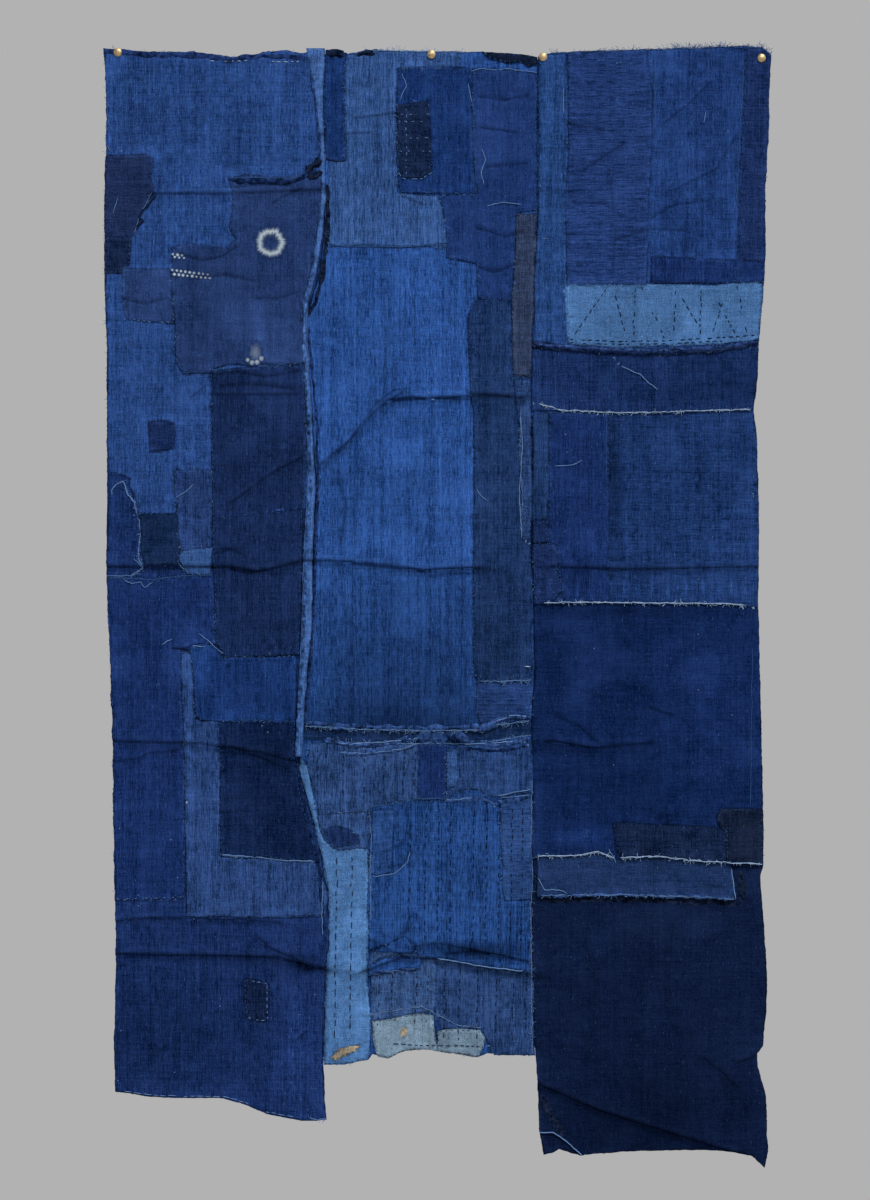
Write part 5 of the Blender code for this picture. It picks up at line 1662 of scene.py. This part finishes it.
cloths = {
    name: cloth_material("cotton_" + name, dye, 1.7 * place)
    for place, (name, dye) in enumerate(DYES.items())
}
THREADS = {
    "pale": thread_material("thread_pale", PALE_THREAD),
    "white": thread_material("thread_white", WHITE_THREAD),
    "blue": thread_material("thread_blue", BLUE_THREAD),
    "dark": thread_material("thread_dark", DARK_THREAD),
}

for key in PANELS:
    make_panel(key)
for patch in PATCHES:
    make_patch(patch)


THICK_STITCH, THIN_STITCH, EDGE_STITCH = 0.62, 0.5, 0.34  # half the thickness of their threads
EDGE_DASH, EDGE_GAP, EDGE_INSET = 3.2, 4.0, 2.2  # of the stitches round a patch, in from its rim
FUZZ_REACH, FUZZ_EACH = 3.2, 0.14  # the fibres at a patch's rim: how long, and how many to the millimetre


def edge_stitches(bundles, chance):
    """Every patch is caught down all round by short stitches, and a little fuzz stands at its rim."""
    for patch in PATCHES:
        middle = np.mean(patch.outline, axis=0)
        rim = closed_path(patch.outline)
        path = []
        for place in rim:
            off = np.array(place) - middle
            path.append(tuple(middle + off * (1 - EDGE_INSET / max(np.hypot(*off), 8))))
        bundle = bundles[patch.panel, "blue" if chance.random() < 0.6 else "dark"]
        running_stitch(bundle, patch.panel, path, EDGE_DASH, EDGE_GAP, EDGE_STITCH, chance, wander=0.3)
        fuzz = bundles[patch.panel, "pale" if chance.random() < 0.5 else "blue"]
        lean = chance.uniform(0, 360)
        frayed(fuzz, patch.panel, rim, FUZZ_REACH, FUZZ_EACH, lean, chance, radius=0.3, out=0.6)


def sew():
    """All the threads. The order matters, because one run of random numbers serves them all."""
    chance = np.random.default_rng(5)
    bundles = {(key, thread): Bundle() for key in PANELS for thread in THREADS}
    edge_stitches(bundles, chance)
    for row in STITCH_ROWS:
        radius = THICK_STITCH if row.thread in ("white", "dark") else THIN_STITCH
        for path in row.paths:
            bundle = bundles[row.panel, row.thread]
            running_stitch(bundle, row.panel, path, row.dash, row.gap, radius, chance)
    for long in LONG_THREADS:
        for path in long.paths:
            loose_thread(bundles[long.panel, long.thread], long.panel, path, long.radius, chance)
    for line in FRAYED_LINES:
        bundle = bundles[line.panel, line.thread]
        for _ in range(2):
            loose_thread(bundle, line.panel, line.path, line.radius * 0.7, chance, proud=0.8, curl=1.2)
        frayed(bundle, line.panel, line.path, line.reach, line.each, line.lean, chance)
    for group in FLECKS:
        for x, z in group.places:
            fleck(bundles[group.panel, group.thread], group.panel, x, z, group.size, chance)
    for (key, thread), bundle in bundles.items():
        made = bundle.object(f"threads_{thread}_{PANELS[key].node}", THREADS[thread])
        if made:
            extras.setdefault(key, []).append(made)


sew()
resist_marks()
for row in ROLLED_EDGES:
    rolled_edge(*row)
seam_backing("seam_allowance_left", LEFT_SEAM, -2, -1410)
seam_backing("seam_allowance_right", RIGHT_SEAM, -8, -1400)

BRASS = brass_material()
for node in ("wall_pin_1", "wall_pin_2", "wall_pin_3", "wall_pin_4"):
    pin = bpy.data.objects[node]
    for slot in pin.material_slots:
        slot.material = BRASS

# ---------------------------------------------------------------- studio

FLOOR_HALF = (2.6, 2.3, 1.0)  # half the floor's width and depth, in metres
FLOOR_BELOW = 0.4  # from the cloth's foot down to the floor, in metres
WORLD_GREY = 0.445
SUN_STRENGTH, SUN_SPREAD = 2.9, 16.0  # the spread is in degrees
SUN_WAY = (-0.28, 0.66, -0.70)  # where its light goes: down, to the left, and at the cloth
CAMERA_AT = (-0.003, -3.98, -0.767)  # square on to the cloth, in metres


def backdrop():
    """A plain pale floor below the cloth's foot, out of the photo's view."""
    bm = bmesh.new()
    bmesh.ops.create_grid(bm, x_segments=1, y_segments=1, size=1.0)
    mesh = bpy.data.meshes.new("floor")
    bm.to_mesh(mesh)
    bm.free()
    floor = bpy.data.objects.new("floor", mesh)
    floor.scale = FLOOR_HALF
    floor.location = (0.0, -0.9, FOOT * MM - FLOOR_BELOW)
    nodes = Nodes("pale_floor")
    blots = nodes.noise(nodes.add("TexCoord", output=3), 400.0)
    nodes.feed(nodes.shader.inputs["Base Color"], nodes.tint(blots, (0.58, 0.58, 0.57), (0.64, 0.64, 0.63)))
    nodes.shader.inputs["Roughness"].default_value = 0.8
    mesh.materials.append(nodes.material)
    bpy.context.scene.collection.objects.link(floor)


def studio():
    """Even grey light from all round, and a broad soft sun from the upper right."""
    world = bpy.data.worlds.new("studio")
    world.use_nodes = True
    background = world.node_tree.nodes["Background"]
    background.inputs["Color"].default_value = (WORLD_GREY, WORLD_GREY, WORLD_GREY, 1.0)
    bpy.context.scene.world = world
    key = bpy.data.lights.new("key", "SUN")
    key.energy = SUN_STRENGTH
    key.angle = math.radians(SUN_SPREAD)
    light = bpy.data.objects.new("key", key)
    light.rotation_euler = Vector(SUN_WAY).to_track_quat("-Z", "Y").to_euler()
    bpy.context.scene.collection.objects.link(light)
    bpy.context.scene.view_settings.view_transform = "Standard"


def camera():
    """A long lens, level with the middle of the cloth."""
    data = bpy.data.cameras.new("camera")
    data.lens = 85.0
    data.sensor_width = 36.0
    made = bpy.data.objects.new("camera", data)
    made.location = CAMERA_AT
    made.rotation_euler = (math.radians(90), 0.0, 0.0)
    bpy.context.scene.collection.objects.link(made)
    bpy.context.scene.camera = made


backdrop()
studio()
camera()
